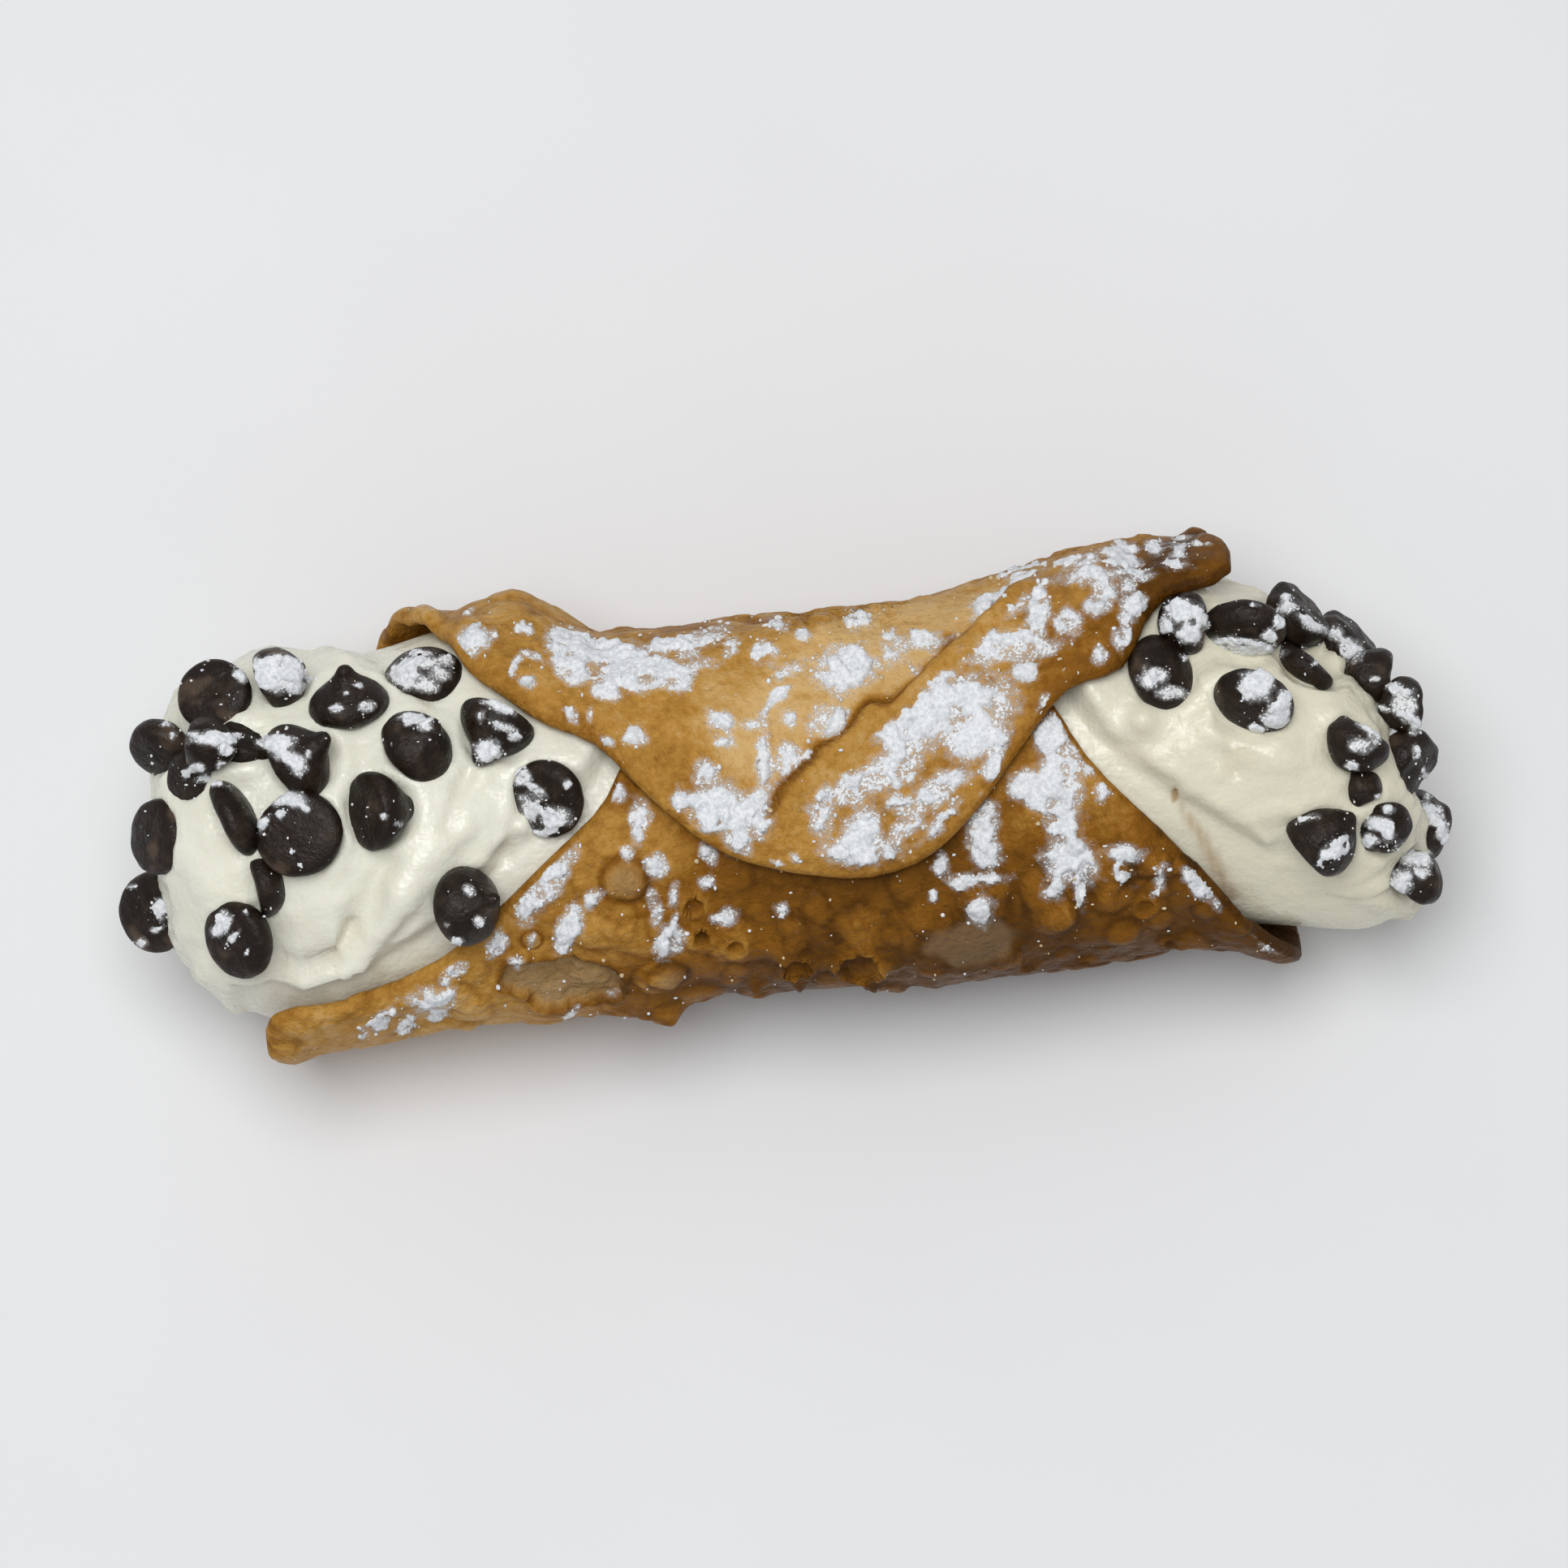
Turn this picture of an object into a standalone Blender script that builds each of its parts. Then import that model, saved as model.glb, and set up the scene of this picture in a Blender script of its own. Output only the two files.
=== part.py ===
"""A filled cannolo lying on its side.

A round of fried dough is lapped into a tube, cream fills it and swells out of both ends, and dark
chocolate drops are pressed into the cream. The tube's axis runs along +X, the lap faces up, and
the origin is on the table under the tube's axis. An angle round the tube is counted in degrees
from the bottom, positive over the far side (+Y), so the outer flap ends past +180 and the inner
flap, under it, past -180. Sizes are in millimetres and become metres in the meshes.
"""
from functools import lru_cache
from math import atan2, cos, degrees, exp, hypot, pi, radians, sin, sqrt
import random

import bmesh
import bpy
from mathutils import Matrix, Vector

MM = 0.001

# Tube of dough
TUBE_RADIUS = 22.7
AXIS_HEIGHT = 22.0
DOUGH = 1.9
LAP_GAP = 0.5
INNER_FLAP_DIP = 0.6
MM_PER_DEGREE = TUBE_RADIUS * pi / 180

# Rim of the dough round, laid flat: millimetres along the axis, degrees round the tube
DOUGH_CENTRE = (4.0, -3.0)
OUTER_FLAP_RIM = [(-20, 175), (-14.5, 191), (-8, 205), (3.5, 214), (9, 216), (14.5, 213), (22, 200),
                  (26, 189), (30, 178), (34.5, 168)]
FAR_RIGHT_RIM = [(42, 165), (45, 150), (48, 141), (54.5, 140), (57, 137), (57.5, 128), (55, 112),
                 (54, 90), (57, 45), (60, 0)]
NEAR_RIGHT_RIM = [(61.5, -50), (60.5, -88), (57.4, -98), (52.3, -116), (46.4, -139), (41.6, -155),
                  (38.2, -165), (34.3, -180)]
INNER_FLAP_RIM = [(33, -193), (26, -207), (14, -219), (4, -222), (-8, -216), (-16, -201), (-20, -186)]
NEAR_LEFT_RIM = [(-21.6, -176), (-27, -165), (-34.5, -149), (-40, -135), (-45, -127), (-50, -120),
                 (-57, -117), (-63, -119), (-66, -117), (-66.5, -100), (-65.5, -80), (-64, -40)]
FAR_LEFT_RIM = [(-61, 0), (-54, 40), (-48.5, 80), (-46, 100), (-42, 115), (-39, 126), (-37, 140),
                (-33.7, 148), (-28, 160), (-22.5, 166)]
RIM_BLUR = 2.0

# Where the two ends of the round ride over each other, in degrees: from no shift to the full one
LAP_RIDES_OVER = (108, 140)
LAP_PRESSED_IN = (-112, -142)

# Swells of the tube: height, where it starts along the tube and where it is full, middle and width
# round the tube
DOUGH_SWELLS = [(5.4, -19, -31, 104, 36), (-1.8, -38, -50, 104, 36), (2.0, -45, -62, -85, 48),
                (3.8, 16, 42, 108, 44), (3.8, 46, 61, -85, 36), (0.8, 30, 55, 0, 60)]
# Bellies of the tube: height, middle and width along it, middle and width round it
DOUGH_BELLIES = [(0.9, -28, 12, -85, 45), (2.1, 24, 24, -88, 48)]
# Fold on the far right: height, width, place along the tube at an angle, lean in mm a degree, and
# where it fades in and out round the tube
FOLD_HEIGHT = 1.8
FOLD_WIDTH = 5
FOLD_PLACE = (36, 165)
FOLD_LEAN = 0.10
FOLD_FADES_IN = (95, 135)
FOLD_FADES_OUT = (185, 168)

# Blisters and hollows in the dough: along, round, half width, half width round, height
BLISTERS = [(-20.8, -151, 3.2, 3.2, 0.7), (6.2, -110, 4.0, 3.4, 0.9), (20.0, -106, 6.5, 3.2, 0.9),
            (-29.0, -114, 7.0, 5.5, -1.1), (-19.0, -90, 3.5, 3.5, 1.3), (30.4, -125, 3.2, 3.2, 0.7),
            (37.6, -111, 3.4, 3.0, 0.8), (39.8, -142, 3.0, 3.0, 0.9), (-1.3, -111, 3.0, 3.0, 0.8),
            (-16.0, 139, 8.5, 5.0, -0.8), (9.0, 192, 4.0, 4.0, 0.5), (24.0, 118, 5.0, 5.0, 0.7),
            (-40.0, -108, 4.0, 4.0, 0.8), (50.0, -100, 4.5, 4.0, 0.7)]
SMALL_BLISTERS = 70
SMALL_BLISTER_WIDTHS = (2.4, 4.0)
SMALL_BLISTER_HEIGHTS = (0.2, 0.5)
BLISTER_SEED = 7

# Long burst blister over the top: its torn edge runs from one point to the other
TEAR_START = (-3.4, 193)
TEAR_END = (32.2, 128)
TEAR_DEPTH = 0.8
TEAR_END_FADE = 3
TEAR_EDGE = (-2.5, 2.5)
TEAR_WALL = (-1, 1.5)
TEAR_FAR_SIDE = (15, 8)

# Cream
CREAM_GAP = 0.6
CREAM_LEFT = -77.5
CREAM_RIGHT = 73.5
CREAM_CAP = 21.0
CREAM_LEFT_POWER = 3.2
CREAM_RIGHT_POWER = 2.9
CREAM_RIGHT_SKEW = 0.4
CREAM_BANK = (4.3, 8.3)
CREAM_UNDER_INNER_FLAP = (6, 3)
CREAM_MIDDLE = 5
# Cream clear of the dough, at the left and at the right: radius, and swells like the tube's
CREAM_LEFT_RADIUS = 21.3
CREAM_RIGHT_RADIUS = 21.6
CREAM_LEFT_SWELLS = [(2.0, -26, -44, 170, 75), (3.0, -34, -46, 120, 50)]
CREAM_RIGHT_SWELLS = [(1.6, 36, 52, 170, 75), (1.2, 52, 62, 262, 45)]
# Folds of the cream: height, radians for each mm along, turns for each turn round, start and full
CREAM_FOLDS = [(0.45, 0.55, 2.2, -28, -44), (0.3, 0.5, -2.5, 40, 52)]

# Mesh counts
DOUGH_CELLS = (36, 40)
CREAM_SIDES = 30
CREAM_CAP_RINGS = 6
CREAM_SPANS = [(-16, 11), (28, 4), (CREAM_RIGHT - CREAM_CAP, 7)]

# Chocolate drops: profile as (radius, height) for a drop 9.2 across and 7.2 tall
DROP_WIDTH = 9.2
DROP_TALL = 7.2
DROP_PROFILE = [(0, 0), (4.0, 0), (4.6, 0.9), (3.5, 3.0), (1.4, 5.0), (0, 7.2)]
DROP_SIDES = 8
DROP_HEART = 2.4
DROP_GAP = 0.3
TIP_BEND = 1.2

# Each drop: its heart's place x, y, z; heading in plan and rise of its tip, degrees; its width; and
# the stretch of its height
DROPS = {
    "left_01": (-67.25, 17, 40.75, -15, -70, 8.6, 0.9),
    "left_02": (-59, 18.5, 42, 15, 20, 7.6, 1),
    "left_03": (-51.5, 15, 43.5, 90, 35, 9.4, 1),
    "left_04": (-42.25, 17.75, 39, 95, 50, 9.2, 1),
    "left_05": (-34.5, 8.5, 43.5, -120, 10, 8.8, 1.1),
    "left_06": (-43, 8, 46, 35, 45, 9.4, 1),
    "left_07": (-74.5, 13, 38, 55, -30, 8.6, 1),
    "left_08": (-68.5, 10.25, 48.25, -20, 10, 7.4, 1),
    "left_09": (-70.5, 7.5, 41, 20, -45, 7.2, 0.9),
    "left_10": (-64.5, 9.75, 43, -120, -45, 6.6, 0.85),
    "left_11": (-57.5, 7.5, 46.75, 25, 30, 9.2, 1.1),
    "left_12": (-65.5, 1.75, 45.25, 20, 10, 9.4, 0.9),
    "left_13": (-58.75, -1.75, 46, 40, -75, 9.8, 0.9),
    "left_14": (-75.5, 1.5, 36.5, 5, -40, 8.8, 1),
    "left_15": (-78, -5.5, 25, 25, -50, 9.2, 1),
    "left_16": (-67.25, -12.25, 39.5, 30, -45, 9, 1),
    "left_17": (-49, 0, 46.5, 5, -35, 9, 1.1),
    "left_18": (-63, -6, 41.25, 10, -5, 8.2, 0.8),
    "left_19": (-39.25, -12.25, 43.75, -5, 40, 9.5, 1.1),
    "left_20": (-28.5, 0, 43.5, 45, -45, 9.2, 1),
    "right_01": (49.5, 12.5, 43, 170, 20, 7.6, 1),
    "right_02": (57, 10, 43, -105, 25, 9.2, 1),
    "right_03": (47, 6.5, 44.5, 10, 55, 8.8, 1),
    "right_04": (56.5, 0.5, 46, -115, 30, 9.3, 1),
    "right_05": (63.75, 12.75, 35.75, -145, -25, 8.6, 1),
    "right_06": (69.75, 10, 30.25, -145, -20, 8.2, 1),
    "right_07": (63.25, 5.5, 37.5, -135, -10, 8, 0.8),
    "right_08": (72.25, 5, 33.75, 165, 5, 6.5, 1),
    "right_09": (68.5, -5, 42.25, -130, 0, 7.5, 1),
    "right_10": (75.5, 0.5, 35.5, 170, 5, 6.6, 0.95),
    "right_11": (75, -6, 32.5, 135, -20, 9, 1),
    "right_12": (68.5, -9.25, 39, 115, 10, 5.6, 0.8),
    "right_13": (63.5, -15.5, 39, 30, 20, 8.6, 1.35),
    "right_14": (71.25, -15, 37.25, -85, 20, 6.6, 0.9),
    "right_15": (77.5, -12.5, 23.5, 5, 0, 8, 1),
    "right_16": (75, -19.5, 29.5, 50, 20, 7.4, 1),
}

# Colours
CRUST_COLOUR = (0.42, 0.24, 0.095, 1)
CREAM_COLOUR = (0.80, 0.77, 0.66, 1)
DROP_COLOUR = (0.018, 0.012, 0.008, 1)


def clear_scene():
    """Remove every object that the scene starts with."""
    for thing in list(bpy.data.objects):
        bpy.data.objects.remove(thing, do_unlink=True)


def finish(name, colour, roughness):
    """A plain material with one colour."""
    material = bpy.data.materials.new(name)
    material.use_nodes = True
    shader = material.node_tree.nodes["Principled BSDF"]
    shader.inputs["Base Color"].default_value = colour
    shader.inputs["Roughness"].default_value = roughness
    shader.inputs["Metallic"].default_value = 0
    return material


def ease(low, high, value):
    """0 below low, 1 above high and a smooth rise between them; low may be the larger."""
    share = min(max((value - low) / (high - low), 0), 1)
    return share * share * (3 - 2 * share)


def hump(value, centre, width):
    """A bell of height 1 about the centre."""
    return exp(-((value - centre) / width) ** 2)


def lobe(angle, centre, width):
    """A bell round the tube: height 1 at the centre, the same after a full turn."""
    return exp((cos(radians(angle - centre)) - 1) * 2 / radians(width) ** 2)


@lru_cache(maxsize=None)
def rim_polar():
    """The rim as (direction in degrees, reach) about the dough's centre, by direction."""
    rim = (OUTER_FLAP_RIM + FAR_RIGHT_RIM + NEAR_RIGHT_RIM + INNER_FLAP_RIM + NEAR_LEFT_RIM
           + FAR_LEFT_RIM)
    polar = []
    for along, angle in rim:
        right = along - DOUGH_CENTRE[0]
        up = (angle - DOUGH_CENTRE[1]) * MM_PER_DEGREE
        polar.append((degrees(atan2(up, right)) % 360, hypot(right, up)))
    polar.sort()
    first, last = polar[0], polar[-1]
    return [(last[0] - 360, last[1])] + polar + [(first[0] + 360, first[1])]


def rim_reach(direction):
    """How far the rim is from the dough's centre, in a direction, with its corners softened."""
    total = 0
    for shift, weight in ((-RIM_BLUR, 0.25), (0, 0.5), (RIM_BLUR, 0.25)):
        wanted = (direction + shift) % 360
        for (low, low_reach), (high, high_reach) in zip(rim_polar(), rim_polar()[1:]):
            if low <= wanted <= high:
                total += weight * (low_reach + (high_reach - low_reach) * (wanted - low) / (high - low))
                break
    return total


def past_rim(along, angle):
    """Millimetres beyond the dough's rim, negative on the dough."""
    right = along - DOUGH_CENTRE[0]
    up = (angle - DOUGH_CENTRE[1]) * MM_PER_DEGREE
    return hypot(right, up) - rim_reach(degrees(atan2(up, right)) % 360)


@lru_cache(maxsize=None)
def small_blisters():
    """Seeded blisters spread over the dough."""
    draw = random.Random(BLISTER_SEED)
    found = []
    while len(found) < SMALL_BLISTERS:
        along = draw.uniform(-66, 62)
        angle = draw.uniform(-135, 212)
        width = draw.uniform(*SMALL_BLISTER_WIDTHS)
        height = draw.uniform(*SMALL_BLISTER_HEIGHTS)
        if past_rim(along, angle) < -width - 1:
            found.append((along, angle, width, width, height))
    return found


def swell(along, angle, swells):
    """Sum of swells, each of which eases in along the tube and is a lobe round it."""
    return sum(height * ease(start, full, along) * lobe(angle, middle, width)
               for height, start, full, middle, width in swells)


def flare(along, angle):
    """How far the tube departs from a plain one; both layers of the lap follow it."""
    height = swell(along, angle, DOUGH_SWELLS)
    for tall, middle, width, turn, girth in DOUGH_BELLIES:
        height += tall * hump(along, middle, width) * lobe(angle, turn, girth)
    crest = FOLD_PLACE[0] + (FOLD_PLACE[1] - angle) * FOLD_LEAN
    fades = ease(*FOLD_FADES_IN, angle) * ease(*FOLD_FADES_OUT, angle)
    return height + FOLD_HEIGHT * hump(along, crest, FOLD_WIDTH) * fades


def lap(angle):
    """How far the outer flap rides out over the inner one, and the inner one is pressed in."""
    ride = (DOUGH + LAP_GAP - INNER_FLAP_DIP) * ease(*LAP_RIDES_OVER, angle)
    return ride - INNER_FLAP_DIP * ease(*LAP_PRESSED_IN, angle)


def relief(along, angle):
    """Blisters, hollows and the long torn blister."""
    height = 0
    for at, turn, width, girth, tall in BLISTERS + small_blisters():
        height += tall * hump(along, at, width) * hump((angle - turn) * MM_PER_DEGREE, 0, girth)
    run = TEAR_END[0] - TEAR_START[0]
    rise = (TEAR_END[1] - TEAR_START[1]) * MM_PER_DEGREE
    length = hypot(run, rise)
    right = along - TEAR_START[0]
    up = (angle - TEAR_START[1]) * MM_PER_DEGREE
    beside = (-rise * right + run * up) / length
    onward = (run * right + rise * up) / length
    inside = ease(-TEAR_END_FADE, TEAR_END_FADE, onward)
    inside *= ease(length + TEAR_END_FADE, length - TEAR_END_FADE, onward)
    raised_edge = 0.5 * hump(beside, *TEAR_EDGE)
    sunken = ease(*TEAR_WALL, beside) * ease(*TEAR_FAR_SIDE, beside)
    return height + TEAR_DEPTH * inside * (raised_edge - sunken)


def outer_radius(along, angle):
    """Radius of the dough's outer face."""
    return TUBE_RADIUS + flare(along, angle) + lap(angle) + relief(along, angle)


def inner_radius(along, angle):
    """Radius of the dough's inner face."""
    return outer_radius(along, angle) - DOUGH


def round_axis(along, angle, radius, lowest=0):
    """The point at this place round the tube, in metres, no lower than a height over the table."""
    height = max(AXIS_HEIGHT - radius * cos(radians(angle)), lowest)
    return Vector((along, radius * sin(radians(angle)), height)) * MM


def mesh_object(name, bm, material):
    """A named object that holds the finished bmesh."""
    mesh = bpy.data.meshes.new(name)
    bm.to_mesh(mesh)
    bm.free()
    mesh.materials.append(material)
    thing = bpy.data.objects.new(name, mesh)
    bpy.context.scene.collection.objects.link(thing)
    return thing


def dough_shell(material):
    """The fried dough: a square grid drawn out to the round's rim, rolled up and given its wall."""
    bm = bmesh.new()
    cells_along, cells_round = DOUGH_CELLS
    bmesh.ops.create_grid(bm, x_segments=cells_along, y_segments=cells_round, size=1)
    for vert in bm.verts:
        right = vert.co.x * sqrt(1 - vert.co.y ** 2 / 2)
        up = vert.co.y * sqrt(1 - vert.co.x ** 2 / 2)
        reach = rim_reach(degrees(atan2(up, right)) % 360)
        along = DOUGH_CENTRE[0] + right * reach
        angle = DOUGH_CENTRE[1] + up * reach / MM_PER_DEGREE
        vert.co = round_axis(along, angle, outer_radius(along, angle))
    bmesh.ops.reverse_faces(bm, faces=bm.faces)
    bmesh.ops.triangulate(bm, faces=bm.faces)
    shell = mesh_object("shell", bm, material)
    wall = shell.modifiers.new("wall", "SOLIDIFY")
    wall.thickness = DOUGH * MM
    wall.offset = -1
    wall.use_rim = True
    return shell


def free_cream(along, angle):
    """Radius of the cream where no dough covers it."""
    folds = sum(height * sin(pitch * along + radians(turns * angle)) * ease(start, full, along)
                for height, pitch, turns, start, full in CREAM_FOLDS)
    if along < CREAM_MIDDLE:
        return CREAM_LEFT_RADIUS + swell(along, angle, CREAM_LEFT_SWELLS) + folds
    return CREAM_RIGHT_RADIUS + swell(along, angle, CREAM_RIGHT_SWELLS) + folds


def cream_radius(along, angle):
    """Radius of the cream: against the dough where that covers it, and banked up beside the rim."""
    outer_past = past_rim(along, angle)
    inner_past = past_rim(along, angle - 360)
    under_inner = ease(*CREAM_UNDER_INNER_FLAP, inner_past)
    under_dough = under_inner * inner_radius(along, angle - 360)
    under_dough += (1 - under_inner) * inner_radius(along, angle)
    covered = under_dough - CREAM_GAP
    free = ease(*CREAM_BANK, min(outer_past, inner_past))
    return covered + free * (free_cream(along, angle) - covered)


def cream_cap(along):
    """Share of the radius that is left on the rounded ends."""
    past_left = CREAM_LEFT + CREAM_CAP - along
    past_right = along - CREAM_RIGHT + CREAM_CAP
    share = min(max(past_left, past_right, 0) / CREAM_CAP, 1)
    power = CREAM_LEFT_POWER if past_left > 0 else CREAM_RIGHT_POWER
    return (1 - share ** power) ** (1 / power)


def cream_stations():
    """Places along the axis of the cream's rings, closest on the rounded ends, widest under the dough."""
    bend = [1 - cos(pi / 2 * (step + 0.35) / CREAM_CAP_RINGS) for step in range(CREAM_CAP_RINGS)]
    left = [CREAM_LEFT + CREAM_CAP * share for share in bend]
    right = [CREAM_RIGHT - CREAM_CAP * share for share in reversed(bend)]
    start = CREAM_LEFT + CREAM_CAP
    body = [start]
    for end, rings in CREAM_SPANS:
        body += [start + (end - start) * step / rings for step in range(1, rings + 1)]
        start = end
    return left + body + right


def cream_point(along, angle):
    """A point of the cream's surface, in metres; the right end leans back over the far side."""
    radius = cream_radius(along, angle) * cream_cap(along)
    place = round_axis(along, angle, radius, DOUGH + CREAM_GAP)
    place.x -= CREAM_RIGHT_SKEW * ease(40, 58, along) * place.y
    return place


def cream_filling(material):
    """The cream: rings round the axis, bridged and closed at both ends."""
    bm = bmesh.new()
    last_edges = None
    for station in cream_stations():
        turns = [360 * side / CREAM_SIDES for side in range(CREAM_SIDES)]
        ring = [bm.verts.new(cream_point(station, turn)) for turn in turns]
        edges = [bm.edges.new((ring[side - 1], ring[side])) for side in range(CREAM_SIDES)]
        if last_edges:
            bmesh.ops.bridge_loops(bm, edges=last_edges + edges)
        else:
            bmesh.ops.contextual_create(bm, geom=edges)
        last_edges = edges
    bmesh.ops.contextual_create(bm, geom=last_edges)
    bmesh.ops.recalc_face_normals(bm, faces=bm.faces)
    bmesh.ops.triangulate(bm, faces=bm.faces)
    return mesh_object("cream", bm, material)


def drop_solid(width, stretch, grow=0.0):
    """A drop standing on its flat base, its tip bent over to one side and grown by a margin."""
    bm = bmesh.new()
    across = width / DROP_WIDTH
    verts = []
    for radius, height in DROP_PROFILE:
        swell = grow if radius else 0
        drop_height = height * stretch
        if height == 0:
            drop_height -= grow
        if height == DROP_TALL:
            drop_height += 2 * grow
        verts.append(bm.verts.new(Vector((radius * across + swell, 0, drop_height)) * MM))
    edges = [bm.edges.new(pair) for pair in zip(verts, verts[1:])]
    bmesh.ops.spin(bm, geom=verts + edges, cent=(0, 0, 0), axis=(0, 0, 1), dvec=(0, 0, 0),
                   angle=2 * pi, steps=DROP_SIDES, use_duplicate=False)
    bmesh.ops.remove_doubles(bm, verts=bm.verts, dist=0.00001)
    for vert in bm.verts:
        vert.co.x += TIP_BEND * MM * (max(vert.co.z, 0) / (DROP_TALL * MM)) ** 2
    bmesh.ops.recalc_face_normals(bm, faces=bm.faces)
    bmesh.ops.triangulate(bm, faces=bm.faces)
    return bm


def drop_frame(heart, heading, rise):
    """Where a drop goes: its heart at this place, its tip turned as told."""
    level = cos(radians(rise))
    tip_way = Vector((level * cos(radians(heading)), level * sin(radians(heading)), sin(radians(rise))))
    turn = tip_way.to_track_quat("Z", "X").to_matrix().to_4x4()
    return Matrix.Translation((heart - tip_way * DROP_HEART) * MM) @ turn


def chocolate_drops(material):
    """The drops on the cream, and the cutters for the pockets that they sit in."""
    pockets = []
    for name, (x, y, z, heading, rise, width, stretch) in DROPS.items():
        frame = drop_frame(Vector((x, y, z)), heading, rise)
        drop = mesh_object("drop_" + name, drop_solid(width, stretch), material)
        drop.matrix_world = frame
        pocket = mesh_object("pocket_" + name, drop_solid(width, stretch, DROP_GAP), material)
        pocket.matrix_world = frame
        pockets.append(pocket)
    return pockets


def cut_pockets(cream, pockets):
    """Cut every pocket out of the cream, then drop the cutters."""
    bpy.context.view_layer.update()
    for pocket in pockets:
        cut = cream.modifiers.new(pocket.name, "BOOLEAN")
        cut.operation = "DIFFERENCE"
        cut.object = pocket
        cut.solver = "EXACT"
        pocket.hide_render = True
        pocket.display_type = "WIRE"


def main():
    """Build the whole cannolo."""
    clear_scene()
    dough_shell(finish("fried_dough", CRUST_COLOUR, 0.6))
    cream = cream_filling(finish("ricotta_cream", CREAM_COLOUR, 0.5))
    pockets = chocolate_drops(finish("dark_chocolate", DROP_COLOUR, 0.35))
    cut_pockets(cream, pockets)


main()
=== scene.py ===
"""Looks of a filled cannolo: fried shell, ricotta cream, chocolate drops and powdered sugar.

Lengths are in millimetres and become metres in the meshes. A place on the dough is given as the
millimetres along the tube and the degrees round it, counted from the bottom and positive over the
far side, as in the solids. Places that were read in the photograph are pixels of its named windows.
"""
from __future__ import annotations

import logging
import random
from dataclasses import dataclass, field
from enum import Enum
from itertools import product
from typing import Iterable, NamedTuple, Sequence

import bpy
import numpy as np
from mathutils import Matrix, Vector

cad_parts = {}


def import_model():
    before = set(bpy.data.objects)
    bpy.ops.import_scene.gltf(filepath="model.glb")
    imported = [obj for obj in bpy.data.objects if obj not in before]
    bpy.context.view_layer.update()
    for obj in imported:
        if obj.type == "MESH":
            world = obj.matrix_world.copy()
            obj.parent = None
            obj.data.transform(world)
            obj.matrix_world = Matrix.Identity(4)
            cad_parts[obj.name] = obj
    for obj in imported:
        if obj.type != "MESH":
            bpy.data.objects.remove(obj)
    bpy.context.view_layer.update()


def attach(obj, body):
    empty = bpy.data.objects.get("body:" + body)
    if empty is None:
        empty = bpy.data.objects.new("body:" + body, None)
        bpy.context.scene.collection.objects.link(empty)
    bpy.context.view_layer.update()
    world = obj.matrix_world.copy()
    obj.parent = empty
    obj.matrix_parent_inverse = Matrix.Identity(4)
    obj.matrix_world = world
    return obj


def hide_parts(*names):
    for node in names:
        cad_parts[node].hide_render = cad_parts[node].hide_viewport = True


MM = 0.001
BODY = "root"
log = logging.getLogger("cannolo")
Array = np.ndarray
Socket = bpy.types.NodeSocket
HASH_STEPS = ((0x9E3779B97F4A7C15, 29), (0xBF58476D1CE4E5B9, 32))


# Curves and noise

def ease(low: float, high: float, value: Array) -> Array:
    """Rise smoothly from 0 at low to 1 at high: 3s² - 2s³, with s the clamped share of the way."""
    share = np.clip((value - low) / (high - low), 0, 1)
    return share * share * (3 - 2 * share)


def hump(value: Array, centre: float | Array, width: float) -> Array:
    """Return a bell of height 1 about the centre: e to minus the squared distance in widths."""
    return np.exp(-((value - centre) / width) ** 2)


def lobe(angle: Array, centre: float, width: float) -> Array:
    """Return a bell round the tube, in degrees, that is the same after a full turn."""
    return np.exp((np.cos(np.radians(angle - centre)) - 1) * 2 / np.radians(width) ** 2)


def records(kind: type, *rows: tuple) -> tuple:
    """Return one record of a kind for each row of values."""
    return tuple(kind(*row) for row in rows)


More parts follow.
